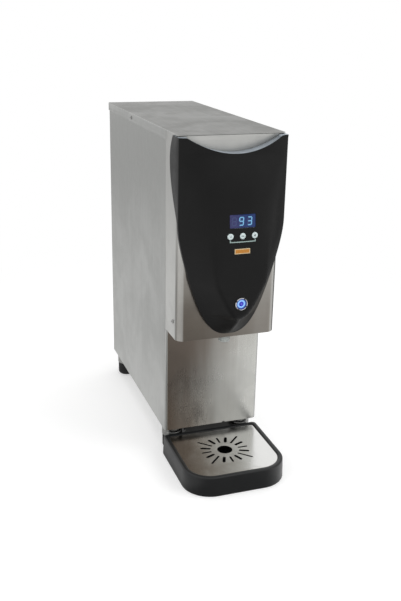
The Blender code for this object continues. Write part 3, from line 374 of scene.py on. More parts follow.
@dataclass(frozen=True)
class BrushedMetal(Finish):
    """Sheet metal brushed one way, with wiping marks and worn edges lightened as a painted edge highlight."""

    grain: Grain = Grain.ALONG_Z
    streak: float = 0.16
    streak_shade: float = 0.55
    smudge: float = 0.14
    smudge_shade: float = 0.72
    smudge_size: float = 9.0
    haze: float = 0.10
    # Lighter outer edges: real wear and a painted edge highlight.
    worn_and_highlight: float = 0.5
    worn_and_highlight_shade: float = 1.35
    worn_and_highlight_width: float = 0.0009
    anisotropy: float = 0.55
    turn: float = 0.0
    relief: float = 0.12
    depth: float = 0.00008
    sheen: Spot | None = None

    def look(self, graph: Graph) -> Inputs:
        """Streaks in colour, gloss and height, under smudges and worn edges that carry a painted edge highlight.

        Args:
            graph: The material's graph.

        Returns:
            What the shader's inputs take.
        """
        brushing = graph.effect(Effects.brushing(), Packing=self.grain.value)
        smudges = graph.effect(Effects.smudges(), Size=self.smudge_size)["Mask"]
        wear_and_highlight = graph.effect(Effects.worn_and_highlit_edges(), Width=self.worn_and_highlight_width)["Mask"]
        colour = graph.tint(brushing["Streaks"], self.colour, self.shade(self.streak_shade), self.streak)
        colour = graph.tint(smudges, colour, self.shade(self.smudge_shade), self.smudge)
        # Painted edge highlight with wear: the outer edges are made lighter.
        colour = graph.tint(wear_and_highlight, colour, self.shade(self.worn_and_highlight_shade), self.worn_and_highlight)
        gloss = graph.shift(self.roughness - self.streak / 2, brushing["Streaks"], self.streak)
        if self.sheen:
            tangent = graph.add("CombineXYZ", dict(enumerate(self.sheen)))
        else:
            tangent = graph.add("Tangent", direction_type="RADIAL", axis="Z")
        return {
            "Base Color": self.tone(graph, colour),
            "Metallic": 1.0,
            "Roughness": graph.shift(gloss, smudges, self.haze),
            "Anisotropic": self.anisotropy,
            "Anisotropic Rotation": self.turn,
            "Tangent": tangent.outputs[0],
            "Normal": graph.bump(brushing["Height"], self.relief, self.depth),
        }


@dataclass(frozen=True)
class ShadePaintedMetal(BrushedMetal):
    """Brushed sheet with painted shade on its front or top, more on one side and lower down: a darker colour that
    stands in for darker reflections.

    The painted shade runs across from clear_from to full_to, wanders in upright bands, and fades out upwards over fade.
    It moves sideways by spread over spread_heights. Surfaces bent towards the front take a share of it, bend.
    """

    # The colour of the painted shade, which stands in for darker reflections.
    painted_shade: Colour = (0.26, 0.215, 0.175)
    clear_from: float = 0.06
    full_to: float = -0.10
    fade: Pair = (1.0, 2.0)
    most: float = 0.9
    bands: Spot = (30.0, 30.0, 5.0)
    wander: float = 0.10
    spread: float = 0.0
    spread_heights: Pair = (0.12, 0.26)
    bend: float = 0.0
    looks_ahead: Pair = (-0.90, -0.99)
    looks_up: Pair = (0.8, 0.97)
    looks_aside: Pair = (-0.10, -0.40)

    def tone(self, graph: Graph, colour: Socket) -> Socket:
        """Paints shade on the front towards one side in soft upright bands, less above.

        Args:
            graph: The material's graph.
            colour: The clean sheet's colour.

        Returns:
            The colour with its painted shade.
        """
        facing, place = graph.facing(), graph.axes(graph.where)
        front = graph.sum(
            "MAXIMUM", graph.span(facing["Y"], self.looks_ahead), graph.span(facing["Z"], self.looks_up)
        )
        front = graph.sum("MAXIMUM", front, graph.span(facing["Y"], self.looks_aside, (0.0, self.bend)))
        front = graph.times(front, graph.span(place["Z"], self.fade, (self.most, 0.0)))
        bands = graph.noise(1.0, 2.0, 0.6, graph.vector("MULTIPLY", graph.where, self.bands))
        across = graph.shift(place["X"], graph.sum("SUBTRACT", bands, 0.5), self.wander)
        across = graph.sum("SUBTRACT", across, graph.span(place["Z"], self.spread_heights, (0.0, self.spread)))
        share = graph.times(graph.span(across, (self.clear_from, self.full_to)), front)
        # Painted shade: darkens the clean colour where the share is high.
        return graph.tint(share, colour, self.painted_shade)


@dataclass(frozen=True)
class Clouded(Finish):
    """A smooth surface, plated or clear, with soft patches of haze or scale."""

    patch: float = 0.25
    patch_shade: float = 0.7
    patch_size: float = 90.0
    haze: float = 0.14
    metal: float = 1.0
    clearness: float = 0.0
    ior: float = 1.5

    def look(self, graph: Graph) -> Inputs:
        """Lays the patches in colour and gloss.

        Args:
            graph: The material's graph.

        Returns:
            What the shader's inputs take.
        """
        patches = graph.effect(Effects.smudges(), Size=self.patch_size)["Mask"]
        return {
            "Base Color": graph.tint(patches, self.colour, self.shade(self.patch_shade), self.patch),
            "Metallic": self.metal,
            "Roughness": graph.shift(self.roughness, patches, self.haze),
            "Transmission Weight": self.clearness,
            "IOR": self.ior,
        }


@dataclass(frozen=True)
class MouldedPlastic(Finish):
    """Moulded plastic with a pebbled skin, rubbed edges lightened as a painted edge highlight, and a film of dust."""

    cells: float = 1500.0
    depth: float = 0.00004
    relief: float = 0.5
    level: float = 0.5
    cloud: float = 0.3
    cloud_shade: float = 1.25
    cloud_size: float = 22.0
    haze: float = 0.07
    # Lighter outer edges: rubbing wear and a painted edge highlight.
    rubbed_and_highlight: float = 0.35
    rubbed_and_highlight_shade: float = 3.2
    rubbed_and_highlight_width: float = 0.0011
    polish: float = -0.12
    dusty: float = 0.06
    dust_colour: Colour = (0.45, 0.44, 0.42)
    coat: float = 0.0

    def look(self, graph: Graph) -> Inputs:
        """Skin in the bump, and rubbed edges with a painted edge highlight, clouds and dust in colour and gloss.

        Args:
            graph: The material's graph.

        Returns:
            What the shader's inputs take.
        """
        clouds = graph.effect(Effects.smudges(), Size=self.cloud_size)["Mask"]
        wear_and_highlight = graph.effect(Effects.worn_and_highlit_edges(), Width=self.rubbed_and_highlight_width)["Mask"]
        dust = graph.effect(Effects.dust())["Mask"]
        skin = graph.effect(Effects.mould_texture(), Cells=self.cells)["Height"]
        colour = graph.tint(clouds, self.colour, self.shade(self.cloud_shade), self.cloud)
        # Painted edge highlight with wear: the outer edges are made much lighter.
        colour = graph.tint(wear_and_highlight, colour, self.shade(self.rubbed_and_highlight_shade), self.rubbed_and_highlight)
        colour = graph.tint(dust, colour, self.dust_colour, self.dusty)
        gloss = graph.shift(self.roughness, clouds, self.haze)
        return {
            "Base Color": self.tone(graph, colour),
            "Roughness": graph.shift(gloss, wear_and_highlight, self.polish),
            "Specular IOR Level": self.level,
            "Coat Weight": self.coat,
            "Normal": graph.bump(skin, self.relief, self.depth),
        }


@dataclass(frozen=True)
class SheenPaintedPlastic(MouldedPlastic):
    """Moulded plastic with a pale painted sheen where it looks up, standing in for the reflection of bright
    surroundings.
    """

    # The colour of the painted sheen, a painted reflection of bright surroundings.
    film_and_sheen: Colour = (0.30, 0.335, 0.37)
    looks_up: Pair = (0.75, 0.97)
    patch_size: float = 60.0
    thinnest: float = 0.75

    def tone(self, graph: Graph, colour: Socket) -> Socket:
        """Lays the painted sheen over what looks up, thinner in patches.

        Args:
            graph: The material's graph.
            colour: The plastic's colour.

        Returns:
            The colour with its painted sheen.
        """
        lying = graph.span(graph.facing()["Z"], self.looks_up)
        patches = graph.span(graph.noise(self.patch_size), (0.2, 0.7), (self.thinnest, 1.0))
        return graph.tint(graph.times(lying, patches), colour, self.film_and_sheen)


@dataclass(frozen=True)
class Glow(Finish):
    """A lit lens: its own colour, brighter in the middle of each cell of its diffuser."""

    light: Colour = (0.4, 0.7, 1.0)
    strength: float = 1.0
    cells: float = 420.0
    dim_light: float = 0.8
    dim_shade: float = 0.85
    coat: float = 0.3

    def look(self, graph: Graph) -> Inputs:
        """Lights the diffuser unevenly.

        Args:
            graph: The material's graph.

        Returns:
            What the shader's inputs take.
        """
        patches = graph.span(graph.noise(self.cells, 2.0), (0.3, 0.7))
        return {
            "Base Color": graph.tint(patches, self.colour, self.shade(self.dim_shade)),
            "Roughness": self.roughness,
            "Emission Color": graph.tint(patches, self.light, tuple(c * self.dim_light for c in self.light)),
            "Emission Strength": self.strength,
            "Coat Weight": self.coat,
        }


@dataclass(frozen=True)
class LitPane(Finish):
    """The display's tinted pane over its blue backlight, violet at one end."""

    far_colour: Colour = (0.035, 0.034, 0.105)
    edge: float = 0.0215
    turns_over: Pair = (0.3, -0.8)
    band_size: float = 150.0
    band: float = 0.35
    band_shade: float = 0.6
    smudge_size: float = 60.0
    haze: float = 0.12
    strength: float = 0.35
    level: float = 0.3

    def look(self, graph: Graph) -> Inputs:
        """Runs the colour from end to end, with the backlight's soft bands.

        Args:
            graph: The material's graph.

        Returns:
            What the shader's inputs take.
        """
        across = graph.span(graph.axes(graph.where)["X"], tuple(self.edge * share for share in self.turns_over))
        colour = graph.tint(across, self.colour, self.far_colour)
        bands = graph.span(graph.noise(self.band_size, 1.0), (0.3, 0.7), (0.0, self.band))
        lit = graph.tint(bands, colour, self.shade(self.band_shade))
        smudges = graph.effect(Effects.smudges(), Size=self.smudge_size)["Mask"]
        return {
            "Base Color": lit,
            "Roughness": graph.shift(self.roughness, smudges, self.haze),
            "Emission Color": lit,
            "Emission Strength": self.strength,
            "Specular IOR Level": self.level,
        }


@dataclass(frozen=True)
class CircuitBoard(Finish):
    """Solder mask over copper runs."""

    pads: Colour = (0.5, 0.5, 0.46)
    pad_size: float = 700.0
    pad_metal: float = 0.8
    pad_polish: float = -0.1
    run_size: float = 160.0
    run_width: float = 0.06
    run_shade: float = 2.4
    relief: float = 0.4
    depth: float = 0.00005

    def look(self, graph: Graph) -> Inputs:
        """Draws runs of copper under the mask as lighter green bricks, and dots of bare solder.

        Args:
            graph: The material's graph.

        Returns:
            What the shader's inputs take.
        """
        upright = graph.add("Mapping", {"Vector": graph.where, "Rotation": (math.pi / 2, 0.0, 0.0)})
        pattern = {
            "Vector": upright.outputs[0],
            "Scale": self.run_size,
            "Mortar Size": self.run_width,
            "Color1": self.colour,
            "Color2": self.shade(1.2),
            "Mortar": self.shade(self.run_shade),
        }
        runs = graph.add("TexBrick", pattern, offset=0.37).outputs
        spots = graph.span(graph.noise(self.pad_size, 0.0), (0.66, 0.7))
        return {
            "Base Color": graph.tint(spots, runs["Color"], self.pads),
            "Metallic": graph.times(spots, self.pad_metal),
            "Roughness": graph.shift(self.roughness, spots, self.pad_polish),
            "Normal": graph.bump(runs["Fac"], self.relief, self.depth),
        }


@dataclass(frozen=True)
class Foam(Finish):
    """Cut insulating foam with open cells."""

    cells: float = 620.0
    pit_shade: float = 0.6
    pit_dull: float = 0.05
    relief: float = 0.8
    depth: float = 0.0004

    def look(self, graph: Graph) -> Inputs:
        """Pits the surface and darkens the pits with painted shade.

        Args:
            graph: The material's graph.

        Returns:
            What the shader's inputs take.
        """
        cells = graph.add("TexVoronoi", {"Vector": graph.where, "Scale": self.cells}).outputs["Distance"]
        return {
            # Painted shade: the colour darkens in the cell pits, where the bump sinks.
            "Base Color": graph.tint(graph.span(cells, (0.2, 0.8)), self.shade(self.pit_shade), self.colour),
            "Roughness": graph.shift(self.roughness, cells, self.pit_dull),
            "Normal": graph.bump(cells, self.relief, self.depth),
        }


def ink(name: str, colour: Colour, roughness: float = 0.5) -> MouldedPlastic:
    """A printed ink, which is smooth and doesn't rub off."""
    return MouldedPlastic(name, colour, roughness, cells=2400.0, depth=0.00001, rubbed_and_highlight=0.0)


class Finishes:
    """Every finish of the dispenser, in one place."""

    SIDE = BrushedMetal("side_steel", (0.53, 0.535, 0.52), 0.34, Grain.ALONG_Z, streak=0.06)
    # Painted shade: the lid's top is darkened almost all over, standing in for darker reflections.
    LID = ShadePaintedMetal(
        "lid_steel", (0.50, 0.505, 0.49), 0.32, Grain.ALONG_Y, streak=0.05, smudge=0.15, sheen=(1.0, 0.0, 0.0),
        painted_shade=(0.192, 0.192, 0.178), clear_from=0.9, full_to=0.3,
    )  # fmt: skip
    # Painted shade: the hood's front, and the bends towards it by half, are darkened lower down, standing in for darker
    # reflections.
    HOOD = ShadePaintedMetal(
        "hood_steel", (0.57, 0.57, 0.55), 0.30, Grain.ALONG_X, streak=0.04, turn=0.25, relief=0.06,
        painted_shade=(0.13, 0.105, 0.08), clear_from=0.45, fade=(0.27, 0.52), bend=0.5,
    )  # fmt: skip
    # Painted shade: the splash panel is darkened and browned towards its left side, standing in for darker reflections.
    SPLASH = ShadePaintedMetal(
        "shade_painted_steel", (0.58, 0.58, 0.55), 0.25, Grain.ALONG_Z, streak=0.05, smudge=0.22, turn=0.25, relief=0.02,
        painted_shade=(0.19, 0.15, 0.12), spread=0.06,
    )  # fmt: skip
    # Painted shade: the grate is darkened towards its left, standing in for darker reflections.
    GRATE = ShadePaintedMetal(
        "grate_steel", (0.97, 0.97, 0.95), 0.17, Grain.ALONG_X, streak=0.04, smudge=0.05, relief=0.02,
        sheen=(0.0, 1.0, 0.0), painted_shade=(0.34, 0.29, 0.24), clear_from=0.05, full_to=-0.09, anisotropy=0.4,
    )  # fmt: skip
    PAN = BrushedMetal("plain_sheet", (0.40, 0.40, 0.385), 0.42, Grain.CROSSED, anisotropy=0.0)
    # Painted shade: this steel is darkened so the leg collars look shaded under the cabinet; the studs and hidden tank
    # parts share it.
    COLLAR = BrushedMetal("turned_steel", (0.33, 0.33, 0.32), 0.24, Grain.ALONG_Z, streak=0.2)
    SCREW = BrushedMetal("screw_steel", (0.45, 0.45, 0.44), 0.3, Grain.CROSSED, anisotropy=0.0)
    CHROME = Clouded("bezel_chrome", (0.64, 0.64, 0.65), 0.12)
    # Painted reflection and highlight: the shield's up-facing surfaces take a pale painted sheen, and its edges are
    # lightened by wear and a painted edge highlight.
    SHIELD = SheenPaintedPlastic("shield_plastic", (0.0118, 0.0118, 0.0118), 0.34, level=0.10, rubbed_and_highlight=0.2, dusty=0.01)
    TRAY = MouldedPlastic("tray_plastic", (0.0095, 0.0100, 0.0105), 0.30, cells=900.0, level=0.5, dusty=0.02)
    RUBBER = MouldedPlastic("foot_rubber", (0.016, 0.016, 0.016), 0.72, cells=700.0, depth=0.0001, level=0.3)
    TUBE = MouldedPlastic("tube_rubber", (0.02, 0.02, 0.02), 0.6, cells=2200.0, level=0.3)
    SEAL = MouldedPlastic("seal_silicone", (0.35, 0.05, 0.03), 0.55, cells=1800.0, rubbed_and_highlight=0.0)
    ABS = MouldedPlastic("fitting_plastic", (0.022, 0.022, 0.023), 0.5, cells=1100.0)
    ROCKER = MouldedPlastic("rocker_plastic", (0.014, 0.014, 0.014), 0.22, cells=400.0, depth=0.00001, coat=0.4)
    KEY = MouldedPlastic("key_plastic", (0.66, 0.76, 0.76), 0.38, cells=1600.0, depth=0.00001, rubbed_and_highlight=0.0)
    INK = ink("grey_ink", (0.12, 0.15, 0.16), 0.55)
    PALE_INK = ink("pale_ink", (0.34, 0.44, 0.42))
    CREAM_INK = ink("cream_ink", (0.67, 0.52, 0.31))
    AMBER_INK = ink("amber_ink", (0.52, 0.21, 0.025), 0.45)
    PANE = LitPane("display_pane", (0.012, 0.028, 0.11), 0.1)
    DIGIT = Glow("lit_digit", (0.10, 0.25, 0.36), 0.4, light=(0.13, 0.33, 0.55), strength=0.8)
    GHOST = Glow("unlit_digit", (0.024, 0.036, 0.12), 0.4, light=(0.03, 0.045, 0.15), strength=0.25)
    HALO = Glow("lit_halo", (0.03, 0.05, 0.25), 0.3, light=(0.02, 0.05, 0.26), strength=0.5)
    CAP = Glow("lit_cap", (0.22, 0.42, 0.70), 0.25, light=(0.24, 0.50, 0.95), strength=0.6)
    CAP_CENTRE = Glow("lit_cap_centre", (0.013, 0.02, 0.36), 0.2, light=(0.012, 0.02, 0.34), strength=0.7)
    CAP_DOT = Glow("lit_cap_dot", (0.22, 0.15, 0.75), 0.3, light=(0.25, 0.18, 0.9), strength=0.4)
    CLEAR = Clouded(
        "nozzle_plastic", (0.60, 0.63, 0.61), 0.28, patch=0.5, patch_shade=1.2, patch_size=120.0, haze=0.2,
        metal=0.0, clearness=0.45, ior=1.46,
    )  # fmt: skip
    BRASS = BrushedMetal("turned_brass", (0.60, 0.42, 0.16), 0.28, Grain.CROSSED, anisotropy=0.2)
    BOARD = CircuitBoard("board_green", (0.02, 0.12, 0.05), 0.4)
    FOAM = Foam("jacket_foam_cells", (0.55, 0.55, 0.52), 0.9)


def unit(value: float) -> float:
    """A value, kept between 0 and 1."""
    return min(max(value, 0.0), 1.0)


def meshed(bm: Mesh, name: str) -> bpy.types.Mesh:
    """Ends an edited mesh.

    Args:
        bm: The edited mesh, which is used up.
        name: The name of its data.

    Returns:
        The data.
    """
    mesh = bpy.data.meshes.new(name)
    bm.to_mesh(mesh)
    bm.free()
    return mesh


def placed(name: str, data: bpy.types.ID) -> bpy.types.Object:
    """Puts an object into the scene.

    Args:
        name: Its name.
        data: Its mesh, lamp or camera.

    Returns:
        The object.
    """
    thing = bpy.data.objects.new(name, data)
    bpy.context.scene.collection.objects.link(thing)
    return thing


def faces_between(bm: Mesh, near: Sequence[Vert], far: Sequence[Vert], closed: bool = True) -> None:
    """Joins two rows of corners with faces.

    Args:
        bm: The mesh that holds them.
        near: The first row.
        far: The second row, with as many corners, or one for a point.
        closed: Whether the rows are rings.
    """
    for k in range(max(len(near), len(far)) - (not closed)):
        corners = [near[k % len(near)], near[(k + 1) % len(near)], far[(k + 1) % len(far)], far[k % len(far)]]
        corners = list(dict.fromkeys(corners))
        if len(corners) > 2:
            bm.faces.new(corners)


def wall(bm: Mesh, rows: Iterable[Sequence[Spot]], closed: bool = True) -> list[list[Vert]]:
    """Makes rows of corners and joins each to the next.

    Args:
        bm: The mesh that they are made in.
        rows: The points of each row.
        closed: Whether the rows are rings.

    Returns:
        The corners of each row.
    """
    made = [[bm.verts.new(point) for point in row] for row in rows]
    for near, far in zip(made, made[1:]):
        faces_between(bm, near, far, closed)
    return made


def loft(rings: Iterable[Sequence[Spot]]) -> Mesh:
    """A closed body through rings of points, with flat ends.

    Args:
        rings: The points of each ring.

    Returns:
        The body.
    """
    bm = bmesh.new()
    made = wall(bm, rings)
    for end in (made[0], made[-1]):
        if len(end) > 2:
            bm.faces.new(end)
    return bm


def filleted(profile: Sequence[Spot], steps: int = 4) -> list[Pair]:
    """Rounds the corners of an open profile.

    Args:
        profile: The radius, the place along the axis, and the fillet of each corner.
        steps: How many faces each fillet has.

    Returns:
        The points of the rounded profile.
    """
    points: list[Pair] = []
    for k, (radius, along, fillet) in enumerate(profile):
        corner = Vector((radius, along))
        if fillet <= 0 or k in (0, len(profile) - 1):
            points.append((radius, along))
            continue
        before = Vector(profile[k - 1][:2]) - corner
        after = Vector(profile[k + 1][:2]) - corner
        start = corner + before.normalized() * min(fillet, before.length * 0.45)
        end = corner + after.normalized() * min(fillet, after.length * 0.45)
        for step in range(steps + 1):
            share = step / steps
            point = start * (1 - share) ** 2 + corner * 2 * share * (1 - share) + end * share**2
            points.append((point.x, point.y))
    return points


def turned(profile: Sequence[Pair], centre: Spot, axis: Axis = Axis.UP, sides: int = 64) -> Mesh:
    """Turns a closed or on-axis profile about an axis.

    Args:
        profile: Radius and place along the axis. It starts and ends on the axis, or closes on itself.
        centre: Where the axis starts.
        axis: The axis it is turned about.
        sides: How many faces go round.

    Returns:
        The turned body.
    """
    bm = bmesh.new()
    turns = [2 * math.pi * k / sides for k in range(sides)]
    rings = wall(
        bm,
        [
            [(radius * math.cos(a), radius * math.sin(a), along) for a in (turns if radius > ON_AXIS else turns[:1])]
            for radius, along in profile
        ],
    )
    if profile[0][0] > ON_AXIS:
        faces_between(bm, rings[-1], rings[0])
    return moved(bm, Matrix.Translation(centre) @ axis.value)


def plan(corners: Sequence[Spot], inset: float, height: float, steps: int = 14) -> list[Spot]:
    """A square-cornered plan with rounded corners, drawn in and set at a height.

    Args:
        corners: The x, y and radius of each corner, anticlockwise.
        inset: How far the plan is drawn in.
        height: Its height.
        steps: How many faces each corner has.

    Returns:
        The plan's points.
    """
    points: list[Spot] = []
    for k, (x, y, radius) in enumerate(corners):
        before, after = corners[k - 1], corners[(k + 1) % len(corners)]
        along = Vector((x - before[0], y - before[1])).normalized()
        onward = Vector((after[0] - x, after[1] - y)).normalized()
        inward = Vector((-along.y, along.x)) + Vector((-onward.y, onward.x))
        hollow = -1 if along.x * onward.y - along.y * onward.x < 0 else 1
        size = max(radius - hollow * inset, 0.0003)
        centre = Vector((x, y)) + inward * (inset + hollow * size)
        for step in range(steps + 1):
            spoke = Matrix.Rotation(hollow * math.pi / 2 * step / steps, 2) @ Vector((along.y, -along.x)) * hollow
            points.append((*(centre + spoke * size), height))
    return points


def oblong(half: float, ends: Pair, radii: Pair) -> list[Spot]:
    """The corners of an oblong about X = 0, between two depths with a radius at each, for plan."""
    (near, far), (first, last) = ends, radii
    return [(-half, near, first), (half, near, first), (half, far, last), (-half, far, last)]


def rectangle(width: float, tall: float, radius: float) -> list[Spot]:
    """The corners of a rectangle about the middle, for plan."""
    return oblong(width / 2, (-tall / 2, tall / 2), (radius, radius))


def both_sides(right: Sequence[Spot]) -> list[Spot]:
    """The corners on the right followed by the same ones on the left."""
    return [*right, *((-x, y, radius) for x, y, radius in reversed(right))]


def bar(size: Pair, radius: float, ends: Pair, steps: int) -> Mesh:
    """A straight bar with rounded corners, from one height to another."""
    return loft([plan(rectangle(*size, radius), 0, end, steps) for end in ends])


def moved(bm: Mesh, matrix: Matrix) -> Mesh:
    """The same mesh after a matrix has moved it."""
    bmesh.ops.transform(bm, matrix=matrix, verts=bm.verts)
    return bm


def merged(meshes: Iterable[Mesh]) -> Mesh:
    """Several meshes as one.

    Args:
        meshes: The meshes, which are used up.

    Returns:
        The mesh that holds them all.
    """
    whole = bmesh.new()
    for bm in meshes:
        part = meshed(bm, "part")
        whole.from_mesh(part)
        bpy.data.meshes.remove(part)
    return whole


def around(node: str) -> tuple[Vector, Vector, Vector]:
    """A node's lowest corner, highest corner and middle at rest."""
    low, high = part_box(node)
    return low, high, (low + high) / 2


def disc(node: str) -> tuple[Spot, float, float]:
    """The middle of a round node's front, its radius and its depth."""
    low, high, middle = around(node)
    return (middle.x, low.y, middle.z), (high.x - low.x) / 2, high.y - low.y


def post(node: str) -> tuple[Spot, float, float]:
    """The middle of an upright round node's foot, its radius and its height."""
    low, high, middle = around(node)
    return (middle.x, middle.y, low.z), (high.x - low.x) / 2, high.z - low.z


@dataclass(frozen=True)
class Piece:
    """How a mesh becomes a piece: its name, finish, body, slot and the nodes it stands for."""

    name: str
    finish: Finish
    slot: str
    body: str = CABINET
    stands_for: tuple[str, ...] = ()
    crease: float = 34.0
    bevel: float = 0.0

    def build(self, bm: Mesh) -> bpy.types.Object:
        """Makes the object, smooths it, dresses it and sets it on its body.

        Args:
            bm: The piece's mesh, which is used up.

        Returns:
            The piece's object.
        """
        bmesh.ops.recalc_face_normals(bm, faces=bm.faces)
        mesh = meshed(bm, self.name)
        mesh.materials.append(self.finish.material())
        mesh.shade_smooth()
        mesh.set_sharp_from_angle(angle=math.radians(self.crease))
        piece = placed(self.name, mesh)
        if self.bevel:
            rounding(piece, self.bevel, self.crease)
        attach(piece, self.body)
        if self.stands_for:
            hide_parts(*self.stands_for)
        LOG.info("%s rides on %s", self.name, self.body)
        return piece

    def turn(
        self, profile: Sequence[Spot], centre: Spot, axis: Axis = Axis.BACK, sides: int = 64, steps: int = 4
    ) -> bpy.types.Object:
        """Makes the piece of a profile that is filleted in so many steps, and turned with so many sides."""
        return self.build(turned(filleted(profile, steps), centre, axis, sides))


def rounding(piece: bpy.types.Object, width: float, crease: float) -> None:
    """Rounds an object's sharp edges.

    Args:
        piece: The object.
        width: How wide the rounding is.
        crease: The least angle that is rounded.
    """
    bevel = piece.modifiers.new("rounding", "BEVEL")
    bevel.width, bevel.segments = width, 2
    bevel.limit_method, bevel.angle_limit = "ANGLE", math.radians(crease)
    bevel.harden_normals = False
    shading = piece.modifiers.new("shading", "WEIGHTED_NORMAL")
    shading.keep_sharp, shading.weight = False, 100


def cut(piece: bpy.types.Object, cutters: Sequence[Mesh]) -> None:
    """Cuts closed meshes out of a piece for good.

    Args:
        piece: The object that is cut.
        cutters: The closed meshes, which are used up.
    """
    tools = []
    for bm in cutters:
        bmesh.ops.recalc_face_normals(bm, faces=bm.faces)
        tool = placed("cutter", meshed(bm, "cutter"))
        modifier = piece.modifiers.new("cut", "BOOLEAN")
        modifier.object, modifier.operation, modifier.solver = tool, "DIFFERENCE", "EXACT"
        tools.append(tool)
    seen = piece.evaluated_get(bpy.context.evaluated_depsgraph_get())
    result = bpy.data.meshes.new_from_object(seen)
    piece.modifiers.clear()
    result.name = piece.name
    piece.data = result
    for tool in tools:
        bpy.data.objects.remove(tool)


def dress_node(name: str, finish: Finish, width: float = 0.0, crease: float = 50.0) -> None:
    """Gives a kept node its finish, smooth bends and rounded edges.

    Args:
        name: The node's name.
        finish: Its finish.
        width: How wide its edges are rounded, or 0 for none.
        crease: The least angle that counts as an edge.
    """
    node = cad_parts[name]
    node.data.materials.clear()
    node.data.materials.append(finish.material())
    for attribute in [a for a in node.data.attributes if a.name in ("custom_normal", "sharp_edge", "sharp_face")]:
        node.data.attributes.remove(attribute)
    node.data.shade_smooth()
    weld = node.modifiers.new("weld", "WELD")
    weld.merge_threshold = 0.00001
    if width:
        rounding(node, width, crease)
    else:
        split = node.modifiers.new("edges", "EDGE_SPLIT")
        split.split_angle = math.radians(crease)
    LOG.info("%s dressed as %s", name, finish.name)


@dataclass
class Screw:
    """A pan-head screw with a cross recess, its head standing off one side."""

    name: str
    spot: Spot
    head_radius: float = 0.0036
    head_height: float = 0.0019
    shank_radius: float = 0.0017
    shank: float = 0.006
    recess: float = 0.0011
    recess_width: float = 0.00072
    recess_reach: float = 1.24

    def build(self) -> None:
        """Turns the head and cuts its recess."""
        side = math.copysign(1.0, self.spot[0])
        radius, height = self.head_radius, self.head_height
        profile = [
            (0, height, 0), (radius * 0.5, height, 0.001), (radius, height * 0.45, 0.0008), (radius, 0, 0),
            (self.shank_radius, 0, 0), (self.shank_radius, -self.shank, 0), (0, -self.shank, 0),
        ]  # fmt: skip
        head = turned([(r, along * side) for r, along in filleted(profile)], self.spot, Axis.ACROSS, 40)
        screw = Piece(self.name, Finishes.SCREW, "plain_steel", stands_for=(self.name.removesuffix("_head"),))
        piece = screw.build(head)
        arm = radius * self.recess_reach
        crossing = []
        for wide, tall in ((arm, self.recess_width), (self.recess_width, arm)):
            bm = bmesh.new()
            size = Matrix.Diagonal((self.recess * 2, wide, tall, 1))
            centre = Vector(self.spot) + Vector((side * height, 0, 0))
            bmesh.ops.create_cube(bm, matrix=Matrix.Translation(centre) @ size)
            crossing.append(bm)
        cut(piece, crossing)


@dataclass
class Casing:
    """The cabinet's sheet metal: wrapper, lid, hood, hood floor, splash panel, base pan and screws."""

    edge: float = 0.0004
    lid_edge: float = 0.0005
    hood_radius: float = 0.0148
    sheet: float = 0.0012
    seam: float = 0.0010
    taper: float = 0.0045
    flange_low: float = 0.5785
    overlap: float = 0.0004

    def build(self) -> None:
        """Dresses the sheets and sets the screws."""
        dress_node("body_wrapper", Finishes.SIDE, self.edge)
        dress_node("lid", Finishes.LID, self.lid_edge)
        self.hood()
        dress_node("hood_floor", Finishes.PAN, self.edge)
        dress_node("splash_panel", Finishes.SPLASH, self.edge)
        dress_node("base_pan", Finishes.PAN, self.edge)
        for node in ("lid_screw_left", "lid_screw_right", "hood_screw_left", "hood_screw_right"):
            low, high, middle = around(node)
            outer = high.x - Screw.head_height if middle.x > 0 else low.x + Screw.head_height
            Screw(f"{node}_head", (outer, middle.y, middle.z)).build()
        self.flange_ends()

    def hood(self) -> None:
        """Folds the hood from one sheet, with soft front corners."""
        low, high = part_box("hood")
        sheet, radius, rear = self.sheet, self.hood_radius, high.y - self.seam
        right = [
            (high.x, low.y, radius), (high.x, rear, 0.0), (high.x - sheet, rear, 0.0),
            (high.x - sheet, low.y + sheet, radius - sheet),
        ]  # fmt: skip
        piece = Piece("hood_wrap", Finishes.HOOD, "stainless", stands_for=("hood",), bevel=self.edge)
        piece.build(loft([plan(both_sides(right), 0, z, 12) for z in (low.z, high.z)]))

    def flange_ends(self) -> None:
        """Tapers the front ends of the lid's flanges down to the hood's sides."""
        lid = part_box("lid")[1]
        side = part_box("hood")[1].x - self.overlap / 2
        near, far = COLUMN_FRONT - self.taper, COLUMN_FRONT + self.overlap
        levels = (self.flange_low, lid.z - self.sheet)
        piece = Piece("lid_flange_ends", Finishes.SIDE, "stainless")
        triangle = ((side, far), (lid.x, far), (side, near))
        piece.build(merged([loft([[(s * x, y, z) for x, y in triangle] for z in levels]) for s in (-1, 1)]))


